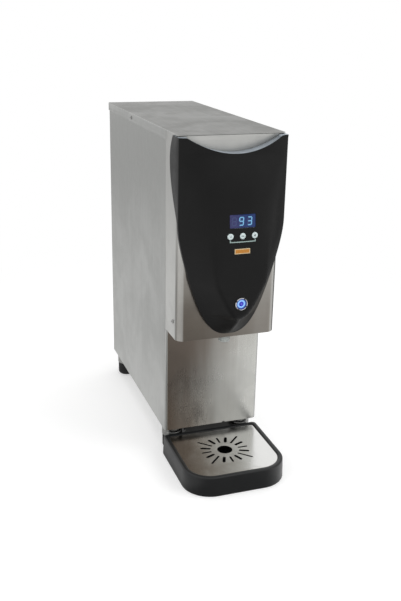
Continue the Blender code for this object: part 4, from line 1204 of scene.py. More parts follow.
@dataclass
class Display:
    """The display: a tinted pane with two lit digits on it, and every unlit bar of its three places faint."""

    width: float = 0.043
    tall: float = 0.021
    thickness: float = 0.0022
    tilt: float = 0.09
    pane_radius: float = 0.0011
    digit_tall: float = 0.0140
    digit_wide: float = 0.0082
    slant: float = 0.06
    stroke: float = 0.0018
    point: float = 0.42
    bar_levels: Pair = (-0.0002, 0.00018)
    centres: tuple[float, float, float] = (-0.0145, -0.0022, 0.0116)
    lit: tuple[str, str, str] = ("", "abcdfg", "abcdg")

    def lean(self) -> Matrix:
        """The matrix that sets a flat drawing on the middle of the leaning pane."""
        middle = around("display_window")[2]
        return Matrix.Translation(middle) @ Matrix.Rotation(math.pi / 2 - self.tilt, 4, "X")

    def bar(self, start: Pair, end: Pair) -> Mesh:
        """One bar of a digit, pointed at both ends.

        Args:
            start: Its first end on the pane.
            end: Its second end.

        Returns:
            The bar, lying on the pane.
        """
        first, last = Vector(start), Vector(end)
        along = (last - first).normalized()
        across = Vector((-along.y, along.x)) * self.stroke / 2
        point = along * self.stroke * self.point
        near, far = first + point, last - point
        outline = [first, near - across, far - across, last, far + across, near + across]
        return loft([[(*corner, self.thickness / 2 + rise) for corner in outline] for rise in self.bar_levels])

    def digit(self, x: float, bars: str) -> list[Mesh]:
        """The named bars of one digit.

        Args:
            x: The digit's middle.
            bars: The letters of its bars, from a at the top, clockwise, to g in the middle.

        Returns:
            The bars.
        """
        wide, tall = self.digit_wide / 2 - self.stroke / 2, self.digit_tall / 2 - self.stroke / 2
        spots = {
            "a": ((-wide, tall), (wide, tall)),
            "b": ((wide, tall), (wide, 0)),
            "c": ((wide, 0), (wide, -tall)),
            "d": ((-wide, -tall), (wide, -tall)),
            "e": ((-wide, 0), (-wide, -tall)),
            "f": ((-wide, tall), (-wide, 0)),
            "g": ((-wide, 0), (wide, 0)),
        }
        return [self.bar(*[(x + a + b * self.slant, b) for a, b in spots[letter]]) for letter in bars]

    def build(self) -> None:
        """Builds the pane and its digits."""
        half = self.thickness / 2
        levels = ((0.0004, -half), (0.0, -half + 0.0004), (0.0, half - 0.0005), (0.0005, half))
        corners = rectangle(self.width, self.tall, self.pane_radius)
        pane = loft([plan(corners, inset, depth, 6) for inset, depth in levels])
        piece = Piece("display_pane", Finishes.PANE, "display_blue", stands_for=("display_window",), crease=25.0)
        piece.build(moved(pane, self.lean()))
        lit, unlit = [], []
        for x, bars in zip(self.centres, self.lit):
            lit += self.digit(x, bars)
            unlit += self.digit(x, "".join(sorted(set("abcdefg") - set(bars))))
        Piece("lit_digits", Finishes.DIGIT, "halo_blue").build(moved(merged(lit), self.lean()))
        Piece("unlit_digits", Finishes.GHOST, "display_blue").build(moved(merged(unlit), self.lean()))
        dress_node("display_board", Finishes.BOARD)


@dataclass
class Shield:
    """The bulged black front shield: a domed face that narrows to a tip, with leaves back along the hood.

    shares gives the bulge's profile down the middle: the place from the tip to the top, and the share of the bulge.
    """

    display: Display
    half: float = 0.092
    edge_back: float = -0.0756
    bulge: float = 0.0510
    tip: float = 0.260
    shoulder: float = 0.5912
    dip: float = 0.0245
    dip_half: float = 0.080
    full_drop: float = 0.136
    leaf_drop: float = 0.134
    leaf_peak: float = 0.038
    leaf_depth: float = 0.039
    hood_front: float = -0.0676
    face_top: float = 0.185
    face_crease: float = 0.120
    taper: float = 0.38
    fullness: float = 2.8
    flat: float = 0.56
    flat_from: Pair = (0.33, 0.83)
    crowding: float = 1.8
    wall: float = 0.0022
    soft: float = 0.0016
    gap: float = 0.0003
    pane_gap: float = 0.0007
    shares: tuple[Pair, ...] = (
        (0.0, 0.0), (0.069, 0.48), (0.14, 0.90), (0.19, 0.985), (0.229, 1.0), (0.425, 0.985),
        (0.595, 0.93), (0.765, 0.81), (0.882, 0.62), (1.0, 0.30),
    )  # fmt: skip
    rim_steps: tuple[Pair, ...] = ((0.0, 0.0007), (0.0003, 0.0002), (0.0007, 0.0))
    holes: tuple[tuple[str, float], ...] = (
        ("key_minus", 0.0004), ("key_set", 0.0004), ("key_plus", 0.0004), ("button_bezel", 0.0003),
    )  # fmt: skip
    hole_depth: float = 0.02
    columns: int = 22
    upper_rows: int = 26
    lower_rows: int = 40
    soft_steps: int = 4

    def slope(self, row: int) -> float:
        """The slope of the profile's smooth line at one of its rows.

        Args:
            row: Which of the profile's points.

        Returns:
            The slope there.
        """
        if row in (0, len(self.shares) - 1):
            near, far = self.shares[:2] if row == 0 else self.shares[-2:]
        else:
            near, far = self.shares[row - 1], self.shares[row + 1]
        return (far[1] - near[1]) / (far[0] - near[0])

    def crown(self, height: float) -> float:
        """How far the middle stands ahead of the edge at a height.

        Args:
            height: The place up.

        Returns:
            The distance.
        """
        top = self.shoulder - self.dip
        place = unit((height - self.tip) / (top - self.tip))
        for row, ((low, start), (high, end)) in enumerate(zip(self.shares, self.shares[1:])):
            if place <= high:
                width = high - low
                share = (place - low) / width
                rise = share**2 * (3 - 2 * share)
                lean_in = share * (1 - share) ** 2 * width * self.slope(row)
                lean_out = share**2 * (1 - share) * width * self.slope(row + 1)
                return self.bulge * (start + (end - start) * rise + lean_in - lean_out)
        return self.bulge * self.shares[-1][1]

    def front(self, x: float, height: float, half: float | None = None) -> float:
        """The depth of the face at a place: domed above, and flat with sloping sides towards the tip.

        Args:
            x: The place across.
            height: The place up.
            half: Half the shield's width there, or None for the width at that height.

        Returns:
            The face's Y in the frame.
        """
        half = self.half_at(height, 0.0) if half is None else half
        side = min(abs(x) / max(half, self.gap), 1.0)
        crease = unit((self.tip + self.face_top - height) / (self.face_top - self.face_crease))
        start, end = self.flat_from
        narrowing = unit(((height - self.tip) / self.face_crease - start) / (end - start))
        ramp = min((1 - side) / (1 - self.flat * math.sqrt(narrowing)), 1.0)
        raised = (1 - crease) * (1 - side**self.fullness) + crease * ramp
        return COLUMN_FRONT + self.edge_back - self.crown(height) * raised

    def half_at(self, height: float, inset: float) -> float:
        """Half the width at a height.

        Args:
            height: The place up.
            inset: How far the outline is drawn in.

        Returns:
            Half the width there.
        """
        low, full = self.tip + inset, self.shoulder - self.full_drop
        share = unit((height - low) / (full - low))
        return (self.half - inset) * share**self.taper * (1 + self.taper * share**4 * (1 - share))

    def top_at(self, x: float, inset: float) -> float:
        """The height of the concave top edge."""
        return self.shoulder - self.dip * (1 - min(abs(x) / self.dip_half, 1.0) ** 2) - inset

    def back(self, height: float, leaf: bool) -> float:
        """Where the rim ends: ahead of the hood, or along its side as a leaf.

        Args:
            height: The place up.
            leaf: Whether a leaf may start there.

        Returns:
            The rim's Y in the frame.
        """
        low, peak = self.shoulder - self.leaf_drop, self.shoulder - self.leaf_peak
        if not leaf or height <= low:
            return COLUMN_FRONT + self.hood_front - self.gap
        if height <= peak:
            depth = self.leaf_depth * math.sin((height - low) / (peak - low) * math.pi / 2)
        else:
            depth = self.leaf_depth * math.cos(0.9 * (height - peak) / self.leaf_peak)
        return COLUMN_FRONT + self.hood_front + depth

    def shares_across(self, inset: float) -> list[float]:
        """Places across, with a narrow last step where a leaf starts.

        Args:
            inset: How far inside the outer face they lie.

        Returns:
            The places as shares of half the width.
        """
        half = self.half - inset
        leaf = self.half - self.wall - self.gap / 3 * (inset > 0)
        even = (leaf - self.gap / 3) / half
        side = [even * math.sin(math.pi / 2 * k / self.columns) ** 0.9 for k in range(1, self.columns + 1)]
        side += [leaf / half, 1.0]
        return [-share for share in reversed(side)] + [0.0] + side

    def grid(self, inset: float) -> list[list[Vector]]:
        """Rows of points over the face, from the top to the tip.

        Args:
            inset: How far inside the outer face the grid lies.

        Returns:
            The rows, the last of them a single point.
        """
        full, half, columns = self.shoulder - self.full_drop, self.half - inset, self.shares_across(inset)

        def point(x: float, height: float, wide: float) -> Vector:
            """The point of the face at a place and height."""
            return Vector((x, self.front(x, height, wide) + inset, height))

        rows = []
        for row in range(self.upper_rows + 1):
            share = row / self.upper_rows
            places = [(c * half, self.top_at(c * half, inset) * (1 - share) + full * share) for c in columns]
            rows.append([point(x, height, half) for x, height in places])
        for row in range(1, self.lower_rows):
            share = (1 - row / self.lower_rows) ** self.crowding
            height = self.tip + inset + (full - self.tip - inset) * share
            wide = self.half_at(height, inset)
            rows.append([point(c * wide, height, wide) for c in columns])
        rows.append([Vector((0, COLUMN_FRONT + self.edge_back + inset, self.tip + inset))])
        return rows

    def border(self, rows: list[list[object]]) -> list[tuple[object, object, bool]]:
        """The grid's outer corners once round.

        Args:
            rows: The grid's corners.

        Returns:
            Each outer corner with the one inside it, and whether a leaf may start there.
        """
        top = [(corner, rows[1][k], k < 2 or k >= len(rows[0]) - 2) for k, corner in enumerate(rows[0])]
        right = [(row[-1], row[-3], True) for row in rows[1:-1]]
        left = [(row[0], row[2], True) for row in rows[1:-1]]
        return top + right + [(rows[-1][0], rows[-2][len(rows[-2]) // 2], False)] + left[::-1]

    def rounded_rim(self, bm: Mesh, outer: Sequence[tuple[Vert, Vert, bool]]) -> list[list[Vert]]:
        """Draws the face's outer corners in, and rounds the rim from there back to where it ends.

        Args:
            bm: The shell's mesh.
            outer: The outer corners, as border gives them.

        Returns:
            The rings of corners from the face to the rim's end.
        """
        places = [(corner.co.copy(), inside.co.copy(), leaf) for corner, inside, leaf in outer]
        starts = []
        for place, inside, _ in places:
            reach = min(self.soft, (inside - place).length * 0.5)
            starts.append(place + (inside - place).normalized() * reach)
        curve = [[corner for corner, _, _ in outer]]
        for step in range(1, self.soft_steps + 1):
            share = step / self.soft_steps
            ring = []
            for start, (place, _, leaf) in zip(starts, places):
                end = place + Vector((0, min(self.soft, (self.back(place.z, leaf) - place.y) * 0.4), 0))
                ring.append(bm.verts.new(start * (1 - share) ** 2 + place * 2 * share * (1 - share) + end * share**2))
            curve.append(ring)
        for start, (corner, _, _) in zip(starts, outer):
            corner.co = start
        for drawn, short in self.rim_steps:
            ring = []
            for place, _, leaf in places:
                inward = Vector((-math.copysign(drawn, place.x), 0, -drawn if place.z > 0.5 else drawn))
                inward.x = 0 if abs(place.x) < 0.002 else inward.x
                ring.append(bm.verts.new(Vector((place.x, self.back(place.z, leaf) - short, place.z)) + inward))
            curve.append(ring)
        return curve

    def shell(self) -> Mesh:
        """The moulded body: face, soft rim, leaves and hollow back.

        Returns:
            The body.
        """
        bm = bmesh.new()
        outer, inner = [self.border(wall(bm, self.grid(inset), closed=False)) for inset in (0.0, self.wall)]
        curve = self.rounded_rim(bm, outer)
        curve.append([bm.verts.new((c.co.x, self.back(c.co.z, leaf), c.co.z)) for c, _, leaf in inner])
        curve.append([corner for corner, _, _ in inner])
        for near, far in zip(curve, curve[1:]):
            faces_between(bm, near, far)
        return bm

    def openings(self) -> list[Mesh]:
        """Cutters for the pane, the keys and the button.

        Returns:
            The closed meshes that are cut out.
        """
        low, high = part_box("display_window")
        size = (high.x - low.x + self.pane_gap, self.display.tall + self.pane_gap)
        cutters = [moved(bar(size, 0.0012, (-0.006, 0.008), 6), self.display.lean())]
        for node, spare in self.holes:
            front, radius, _ = disc(node)
            wide, deep = radius + spare, self.hole_depth
            cutters.append(turned([(0, -deep), (wide, -deep), (wide, deep), (0, deep)], front, Axis.BACK))
        return cutters

    def strip(self, low: Pair, high: Pair, proud: float, cells: tuple[int, int] = (24, 4)) -> Mesh:
        """A thin closed strip that follows the face.

        Args:
            low: The x and height of its lower left corner.
            high: The x and height of its upper right corner.
            proud: How far it stands off the face.
            cells: How many faces it has across and up.

        Returns:
            The strip.
        """
        bm = bmesh.new()
        places = [low[0] + (high[0] - low[0]) * k / cells[0] for k in range(cells[0] + 1)]
        heights = [low[1] + (high[1] - low[1]) * k / cells[1] for k in range(cells[1] + 1)]
        edges = []
        for depth in (-proud, 0.0002):
            rows = [[(x, self.front(x, height) + depth, height) for x in places] for height in heights]
            layer = wall(bm, rows, closed=False)
            side_up = [row[-1] for row in layer[1:-1]]
            side_down = [row[0] for row in layer[-2:0:-1]]
            edges.append(layer[0] + side_up + layer[-1][::-1] + side_down)
        faces_between(bm, *edges)
        return bm

    def build(self) -> None:
        """Builds the shell and cuts its openings."""
        piece = Piece("shield_shell", Finishes.SHIELD, "shield_black", stands_for=("front_shield",), crease=60.0)
        cut(piece.build(self.shell()), self.openings())


@dataclass
class Keypad:
    """Three round keys with generic marks, and the lines and amber strip printed under them."""

    shield: Shield
    radius: float = 0.005
    skirt: float = 0.003
    stem: float = 0.0024
    mark: float = 0.0034
    mark_width: float = 0.0009
    mark_levels: Pair = (-0.00012, 0.0002)
    line: float = 0.0015
    stem_x: float = 0.0211
    stem_gap: float = 0.0008
    bar_height: float = 0.4335
    amber_low: Pair = (-0.0136, 0.4143)
    amber_high: Pair = (0.0124, 0.4226)
    amber_border: float = 0.0013

    def cap(self, node: str, marks: Sequence[Pair]) -> None:
        """Builds a key and its mark.

        Args:
            node: The CAD key it stands for.
            marks: The width and height of each bar of its mark.
        """
        front, _, depth = disc(node)
        radius = self.radius
        profile = [
            (0, 0.0001, 0), (radius * 0.6, 0, 0.0008), (radius * 0.9, 0.0002, 0.0006), (radius, 0.0008, 0.0004),
            (radius, self.skirt, 0.0002), (self.stem, self.skirt, 0), (self.stem, depth, 0), (0, depth, 0),
        ]  # fmt: skip
        Piece(f"{node}_cap", Finishes.KEY, "key_white", node, (node,)).turn(profile, front)
        bars = [
            moved(bar(size, size[1] * 0.3, self.mark_levels, 4), Matrix.Translation(front) @ Axis.BACK.value)
            for size in marks
        ]
        Piece(f"{node}_mark", Finishes.INK, "dark_plastic", node).build(merged(bars))

    def build(self) -> None:
        """Builds the keys and the print."""
        self.cap("key_minus", [(self.mark, self.mark_width)])
        self.cap("key_set", [(self.mark * 1.5, 0.0012)])
        self.cap("key_plus", [(self.mark, self.mark_width), (self.mark_width, self.mark)])
        strip, half, height = self.shield.strip, self.line / 2, self.bar_height
        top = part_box("key_minus")[0].z - self.stem_gap
        lines = [strip((x - half, height), (x + half, top), 0.0002, (1, 8)) for x in (-self.stem_x, self.stem_x)]
        lines.append(strip((-self.stem_x - half, height - half), (self.stem_x + half, height + half), 0.00025, (32, 1)))
        Piece("key_bracket_print", Finishes.PALE_INK, "key_white").build(merged(lines))
        low, high, border = self.amber_low, self.amber_high, self.amber_border
        Piece("strip_border_print", Finishes.CREAM_INK, "key_white").build(strip(low, high, 0.0002))
        inner = strip((low[0] + border, low[1] + border), (high[0] - border, high[1] - border), 0.00032)
        Piece("strip_amber_print", Finishes.AMBER_INK, "key_white").build(inner)


@dataclass
class PushButton:
    """The lit dispense button: chrome bezel with four dark lugs, dim ring and a lit cap."""

    bezel_radius: float = 0.0107
    bezel_depth: float = 0.0031
    shank_radius: float = 0.0097
    bore: float = 0.0089
    lug: Pair = (0.0026, 0.0016)
    lug_turn: float = 30.0
    lug_proud: float = 0.0002
    halo_width: float = 0.0012
    centre_bore: float = 0.0042
    centre_radius: float = 0.00415
    dot: Pair = (0.0011, 0.0006)
    sides: int = 96

    def bezel(self) -> None:
        """Turns the bezel and sets its lugs."""
        front, _, depth = disc("button_bezel")
        bore, outer, shank, seat = self.bore, self.bezel_radius, self.shank_radius, self.bezel_depth
        profile = [
            (bore, 0.0006, 0), (bore + 0.0003, 0, 0.0003), (outer - 0.0007, 0, 0.0006), (outer, 0.0008, 0.0005),
            (outer, seat, 0.0001), (shank, seat, 0), (shank, depth, 0), (bore, depth, 0),
        ]  # fmt: skip
        piece = Piece("bezel_ring", Finishes.CHROME, "chrome", stands_for=("button_bezel",))
        piece.turn(profile, front, sides=self.sides)
        face = Matrix.Translation(front) @ Matrix.Translation((0, -self.lug_proud, 0))
        out = Matrix.Translation((0, 0, (bore + outer) / 2)) @ Axis.BACK.value
        turns = [Matrix.Rotation(math.radians(self.lug_turn) + k * math.pi / 2, 4, "Y") for k in range(4)]
        lugs = [moved(bar(self.lug, 0.0003, (0, 0.001), 4), face @ turn @ out) for turn in turns]
        Piece("bezel_lugs", Finishes.ABS, "dark_plastic").build(merged(lugs))

    def halo(self) -> None:
        """Turns the ring that glows round the cap."""
        front, outer, depth = disc("button_halo")
        inner = outer - self.halo_width
        profile = [
            (inner, 0.0002, 0), (outer - 0.0008, 0, 0.0003), (outer - 0.0001, 0.0003, 0.0002), (outer, depth, 0),
            (inner, depth, 0),
        ]  # fmt: skip
        piece = Piece("halo_ring", Finishes.HALO, "halo_blue", stands_for=("button_halo",))
        piece.turn(profile, front, sides=self.sides)

    def cap(self) -> None:
        """Turns the cap, its darker centre and the dot in the middle."""
        front, radius, depth = disc("button_cap")
        bore, centre = self.centre_bore, self.centre_radius
        ring = [
            (bore, 0.0004, 0), (0.0045, 0.0002, 0.0002), (radius * 0.8, 0.0002, 0.0006), (radius, 0.0010, 0.0006),
            (radius, depth, 0), (bore, depth, 0),
        ]  # fmt: skip
        piece = Piece("cap_ring", Finishes.CAP, "button_blue", "dispense_button", ("button_cap",))
        piece.turn(ring, front, sides=self.sides)
        core = [(0, 0.0002, 0), (0.0024, 0.0003, 0.001), (centre, 0.0008, 0.0003), (centre, depth, 0), (0, depth, 0)]
        Piece("cap_centre", Finishes.CAP_CENTRE, "button_blue", "dispense_button").turn(core, front)
        outer, thick = self.dot
        dot = [(0, 0, 0), (0.0009, 0.0001, 0.0003), (outer, 0.0005, 0), (0, thick, 0)]
        Piece("cap_dot", Finishes.CAP_DOT, "button_blue", "dispense_button").turn(dot, front, sides=24)

    def build(self) -> None:
        """Builds the bezel, the ring and the cap, and dresses what holds them."""
        self.bezel()
        self.halo()
        self.cap()
        dress_node("button_switch_body", Finishes.ABS, 0.0003)
        dress_node("button_nut", Finishes.CHROME, 0.0003)


@dataclass
class Outlet:
    """The clear nozzle under the hood."""

    radius: float = 0.0100
    bore: float = 0.004
    lip: float = 0.0045
    drop: float = 0.0065
    neck: float = 0.0058

    def build(self) -> None:
        """Turns the nozzle with a soft lip and two shallow grip rings."""
        foot, _, tall = post("nozzle")
        radius, bore, lip, drop = self.radius, self.bore, self.lip, self.drop
        profile = [
            (bore, 0.0004 - lip, 0), (bore + 0.0006, -lip, 0.0003), (radius * 0.93, -lip, 0.0008),
            (radius, 0.0022 - lip, 0.0008), (radius, 0.0036, 0.0002), (radius - 0.0004, 0.0040, 0.0002),
            (radius, 0.0044, 0.0002), (radius, drop, 0.0003), (self.neck, drop, 0), (self.neck, tall, 0.0004),
            (bore, tall, 0),
        ]  # fmt: skip
        piece = Piece("nozzle_tip", Finishes.CLEAR, "nozzle_clear", stands_for=("nozzle",))
        piece.turn(profile, foot, Axis.UP)
        dress_node("nozzle_nut", Finishes.ABS, 0.0003)


@dataclass
class DripTray:
    """The moulded tray with its recess, ledge and drain ribs, and the slotted grate that rests in it."""

    half: float = 0.093
    reach: float = -0.163
    front_radius: float = 0.050
    ear_y: float = 0.0062
    ear_radius: float = 0.009
    hollow_radius: float = 0.010
    neck_x: float = 0.0472
    tongue_y: float = 0.0402
    height: float = 0.0372
    draft: float = 0.0012
    soft: float = 0.0030
    soft_steps: int = 6
    foot: float = 0.0025
    ridge: float = 0.0045
    rim: float = 0.0100
    rim_drop: float = 0.0013
    ledge_drop: float = 0.0036
    ledge: float = 0.004
    floor: float = 0.006
    recess_rear: float = -0.0030
    recess_radius: float = 0.016
    skin: float = 0.004
    pocket_radius: float = 0.002
    gap: float = 0.0003
    grate_thickness: float = 0.0012
    grate_centre: float = -0.0756
    grate_edge: float = 0.0003
    hole: float = 0.0136
    hole_sides: int = 56
    slots: int = 16
    slot_start: float = 0.0250
    wide_slot: Pair = (0.0054, 0.0441)
    long_slot: Pair = (0.0037, 0.0546)
    short_slot: Pair = (0.0037, 0.0434)
    ribs: int = 5
    rib_pitch: float = 0.024
    rib_size: Pair = (0.0024, 0.100)
    rib_radius: float = 0.0011
    rib_levels: tuple[Pair, ...] = ((0.0, -0.0008), (0.0002, 0.0014), (0.0007, 0.0019))

    def recess(self, inset: float, height: float) -> list[Spot]:
        """The recess's plan at a height, drawn in by inset from the tray's edge."""
        ends = (COLUMN_FRONT + self.reach, COLUMN_FRONT + self.recess_rear + self.rim)
        return plan(oblong(self.half, ends, (self.front_radius, self.recess_radius)), inset, height, 18)

    def outer_levels(self) -> list[Pair]:
        """The rings up the outer wall.

        Returns:
            The inset and height of each.
        """
        foot, soft, top = self.foot, self.soft, self.height
        levels = [(foot, 0.0), (foot * 0.3, foot * 0.3), (0.0, foot), (self.draft, top - soft)]
        for k in range(1, self.soft_steps + 1):
            turn = math.pi / 2 * k / self.soft_steps
            levels.append((self.draft + soft * (1 - math.cos(turn)), top - soft + soft * math.sin(turn)))
        return levels

    def inner_levels(self) -> list[Pair]:
        """The rings from the rim down to the floor.

        Returns:
            The inset and height of each.
        """
        start, low, ledge = self.draft + self.ridge, self.height - self.rim_drop, self.height - self.ledge_drop
        levels = []
        for k in range(self.soft_steps + 1):
            share = k / self.soft_steps
            levels.append((start + (self.rim - start) * share, self.height - self.rim_drop * share**1.7))
        inner = self.rim + self.ledge
        levels += [(self.rim + 0.0002, low - 0.0003), (self.rim + 0.0002, ledge), (inner - 0.0004, ledge)]
        levels += [(inner, ledge - 0.0004), (inner + 0.0018, self.floor + 0.003)]
        return [*levels, (inner + 0.0025, self.floor + 0.0008), (inner + 0.0045, self.floor)]

    def tray(self) -> Mesh:
        """The moulding: soft outer wall, rounded rim that slopes in, ledge, basin and the hollow tongue.

        Returns:
            The moulding.
        """
        bm = bmesh.new()

        def face(*outlines: Sequence[Vert]) -> None:
            """Fills between an outline and the one inside it.

            Args:
                outlines: The corners of each.
            """
            edges = []
            for outline in outlines:
                for start, end in zip(outline, [*outline[1:], outline[0]]):
                    edges.append(bm.edges.get((start, end)) or bm.edges.new((start, end)))
            bmesh.ops.triangle_fill(bm, use_beauty=True, use_dissolve=False, edges=edges)

        right = [
            (self.half, self.reach, self.front_radius), (self.half, self.ear_y, self.ear_radius),
            (self.neck_x, self.ear_y, self.hollow_radius), (self.neck_x, self.tongue_y, self.ear_radius),
        ]  # fmt: skip
        outline = both_sides([(x, COLUMN_FRONT + y, radius) for x, y, radius in right])
        inset, radius = self.skin + self.foot, self.pocket_radius
        ends = (COLUMN_FRONT + self.recess_rear + self.skin, COLUMN_FRONT + self.tongue_y - inset)
        pocket = oblong(self.neck_x - inset, ends, (radius, radius))
        outer = wall(bm, [plan(outline, *level) for level in self.outer_levels()])
        inner = wall(bm, [self.recess(*level) for level in self.inner_levels()])
        hollow = wall(bm, [plan(pocket, 0, height, 4) for height in (0.0, self.height - self.skin)])
        face(outer[-1], inner[0])
        face(outer[0], hollow[0])
        bm.faces.new(inner[-1])
        bm.faces.new(hollow[-1])
        return bm

    def drain_ribs(self) -> list[Mesh]:
        """Low ribs along the basin's floor.

        Returns:
            The ribs.
        """
        middle = COLUMN_FRONT + (self.reach + self.recess_rear) / 2
        corners = rectangle(*self.rib_size, self.rib_radius)
        ribs = []
        for k in range(self.ribs):
            rib = loft([plan(corners, inset, self.floor + rise, 5) for inset, rise in self.rib_levels])
            ribs.append(moved(rib, Matrix.Translation(((k - (self.ribs - 1) / 2) * self.rib_pitch, middle, 0))))
        return ribs

    def slot(self, angle: float, width: float, end: float) -> list[Pair]:
        """A radial slot with round ends, anticlockwise.

        Args:
            angle: Its turn from straight back, clockwise.
            width: How wide it is.
            end: How far out it reaches.

        Returns:
            Its outline about the grate's hole.
        """
        along = Vector((math.sin(angle), math.cos(angle)))
        across = Vector((along.y, -along.x))
        radius = width / 2
        points = []
        for middle, first in ((end - radius, 0.0), (self.slot_start + radius, math.pi)):
            for step in range(7):
                turn = first + math.pi * step / 6
                point = along * middle + (across * math.cos(turn) + along * math.sin(turn)) * radius
                points.append((point.x, point.y))
        return points

    def grate(self) -> Mesh:
        """The pressed plate: its outline, the round hole and the slots.

        Returns:
            The plate.
        """
        turns = [2 * math.pi * k / self.hole_sides for k in range(self.hole_sides)]
        shapes = [[(math.cos(turn) * self.hole, math.sin(turn) * self.hole) for turn in turns]]
        for k in range(self.slots):
            width, end = (self.wide_slot, self.long_slot, self.wide_slot, self.short_slot)[k % 4]
            shapes.append(self.slot(2 * math.pi * (k + 1) / self.slots, width, end))
        top = self.height - self.ledge_drop + self.gap + self.grate_thickness
        bm = bmesh.new()
        edges = []
        outline = [(x, y) for x, y, _ in self.recess(self.rim + self.gap * 2, 0)]
        holes = [[(x, y + COLUMN_FRONT + self.grate_centre) for x, y in shape] for shape in shapes]
        for shape in [outline, *holes]:
            corners = [bm.verts.new((x, y, top)) for x, y in shape]
            edges += [bm.edges.new((a, b)) for a, b in zip(corners, corners[1:] + corners[:1])]
        bmesh.ops.triangle_fill(bm, use_beauty=True, use_dissolve=False, edges=edges)
        bmesh.ops.recalc_face_normals(bm, faces=bm.faces)
        if bm.faces[:][0].normal.z < 0:
            bmesh.ops.reverse_faces(bm, faces=bm.faces)
        bmesh.ops.solidify(bm, geom=bm.faces[:], thickness=self.grate_thickness)
        return moved(bm, Matrix.Translation((0, 0, top - max(vert.co.z for vert in bm.verts))))

    def build(self) -> None:
        """Builds the tray and the grate."""
        tray = Piece("tray_basin", Finishes.TRAY, "tray_black", "drip_tray", ("drip_tray",))
        tray.build(merged([self.tray(), *self.drain_ribs()]))
        grate = Piece(
            "grate_plate", Finishes.GRATE, "stainless", "drip_grate", ("drip_grate",), bevel=self.grate_edge
        )
        grate.build(self.grate())


@dataclass
class Leg:
    """One leg: a turned steel collar, and a ribbed rubber foot on its stud."""

    word: str
    collar_bore: float = 0.0045
    groove: float = 0.0005
    tread: float = 0.0133
    ribs: int = 3
    rib_start: float = 0.0066
    rib_depth: float = 0.0006
    plain_height: float = 0.0105
    stud_bore: float = 0.0044
    stud_end: float = 0.009
    sides: int = 72

    def collar(self) -> None:
        """Turns the collar, with a groove round its middle."""
        node = f"leg_collar_{self.word}"
        foot, radius, tall = post(node)
        bore, grooved = self.collar_bore, radius - self.groove
        profile = [
            (bore, 0, 0), (radius * 0.95, 0, 0.0006), (radius, 0.0014, 0.0006), (radius, tall * 0.42, 0.0003),
            (grooved, tall * 0.46, 0.0002), (grooved, tall * 0.52, 0.0002), (radius, tall * 0.56, 0.0003),
            (radius, tall, 0.0004), (bore, tall, 0),
        ]  # fmt: skip
        piece = Piece(f"{node}_turned", Finishes.COLLAR, "stainless", stands_for=(node,))
        piece.turn(profile, foot, Axis.UP, self.sides)

    def foot(self) -> None:
        """Turns the ribbed foot."""
        node = f"foot_pad_{self.word}"
        foot, radius, tall = post(node)
        bore = self.stud_bore
        points = [(0, 0.0, 0), (self.tread, 0.0, 0.0005), (radius - 0.0016, 0.0016, 0.0012), (radius, 0.0052, 0.001)]
        pitch = (tall - self.plain_height) / self.ribs
        for k in range(self.ribs):
            start, inner = self.rib_start + k * pitch, radius - self.rib_depth
            points += [(radius, start, 0.0002), (inner, start + 0.0006, 0.0002)]
            points += [(inner, start + 0.0016, 0.0002), (radius, start + 0.0022, 0.0002)]
        points += [(radius, tall - 0.0012, 0.0008), (radius - 0.0012, tall, 0.0004), (bore, tall, 0)]
        points += [(bore, self.stud_end, 0), (0, self.stud_end, 0)]
        piece = Piece(f"{node}_ribbed", Finishes.RUBBER, "rubber_black", f"foot_{self.word}", (node,))
        piece.turn(points, foot, Axis.UP, self.sides, 3)

    def build(self) -> None:
        """Builds the collar and the foot, and dresses the stud."""
        self.collar()
        self.foot()
        dress_node(f"foot_stud_{self.word}", Finishes.COLLAR)


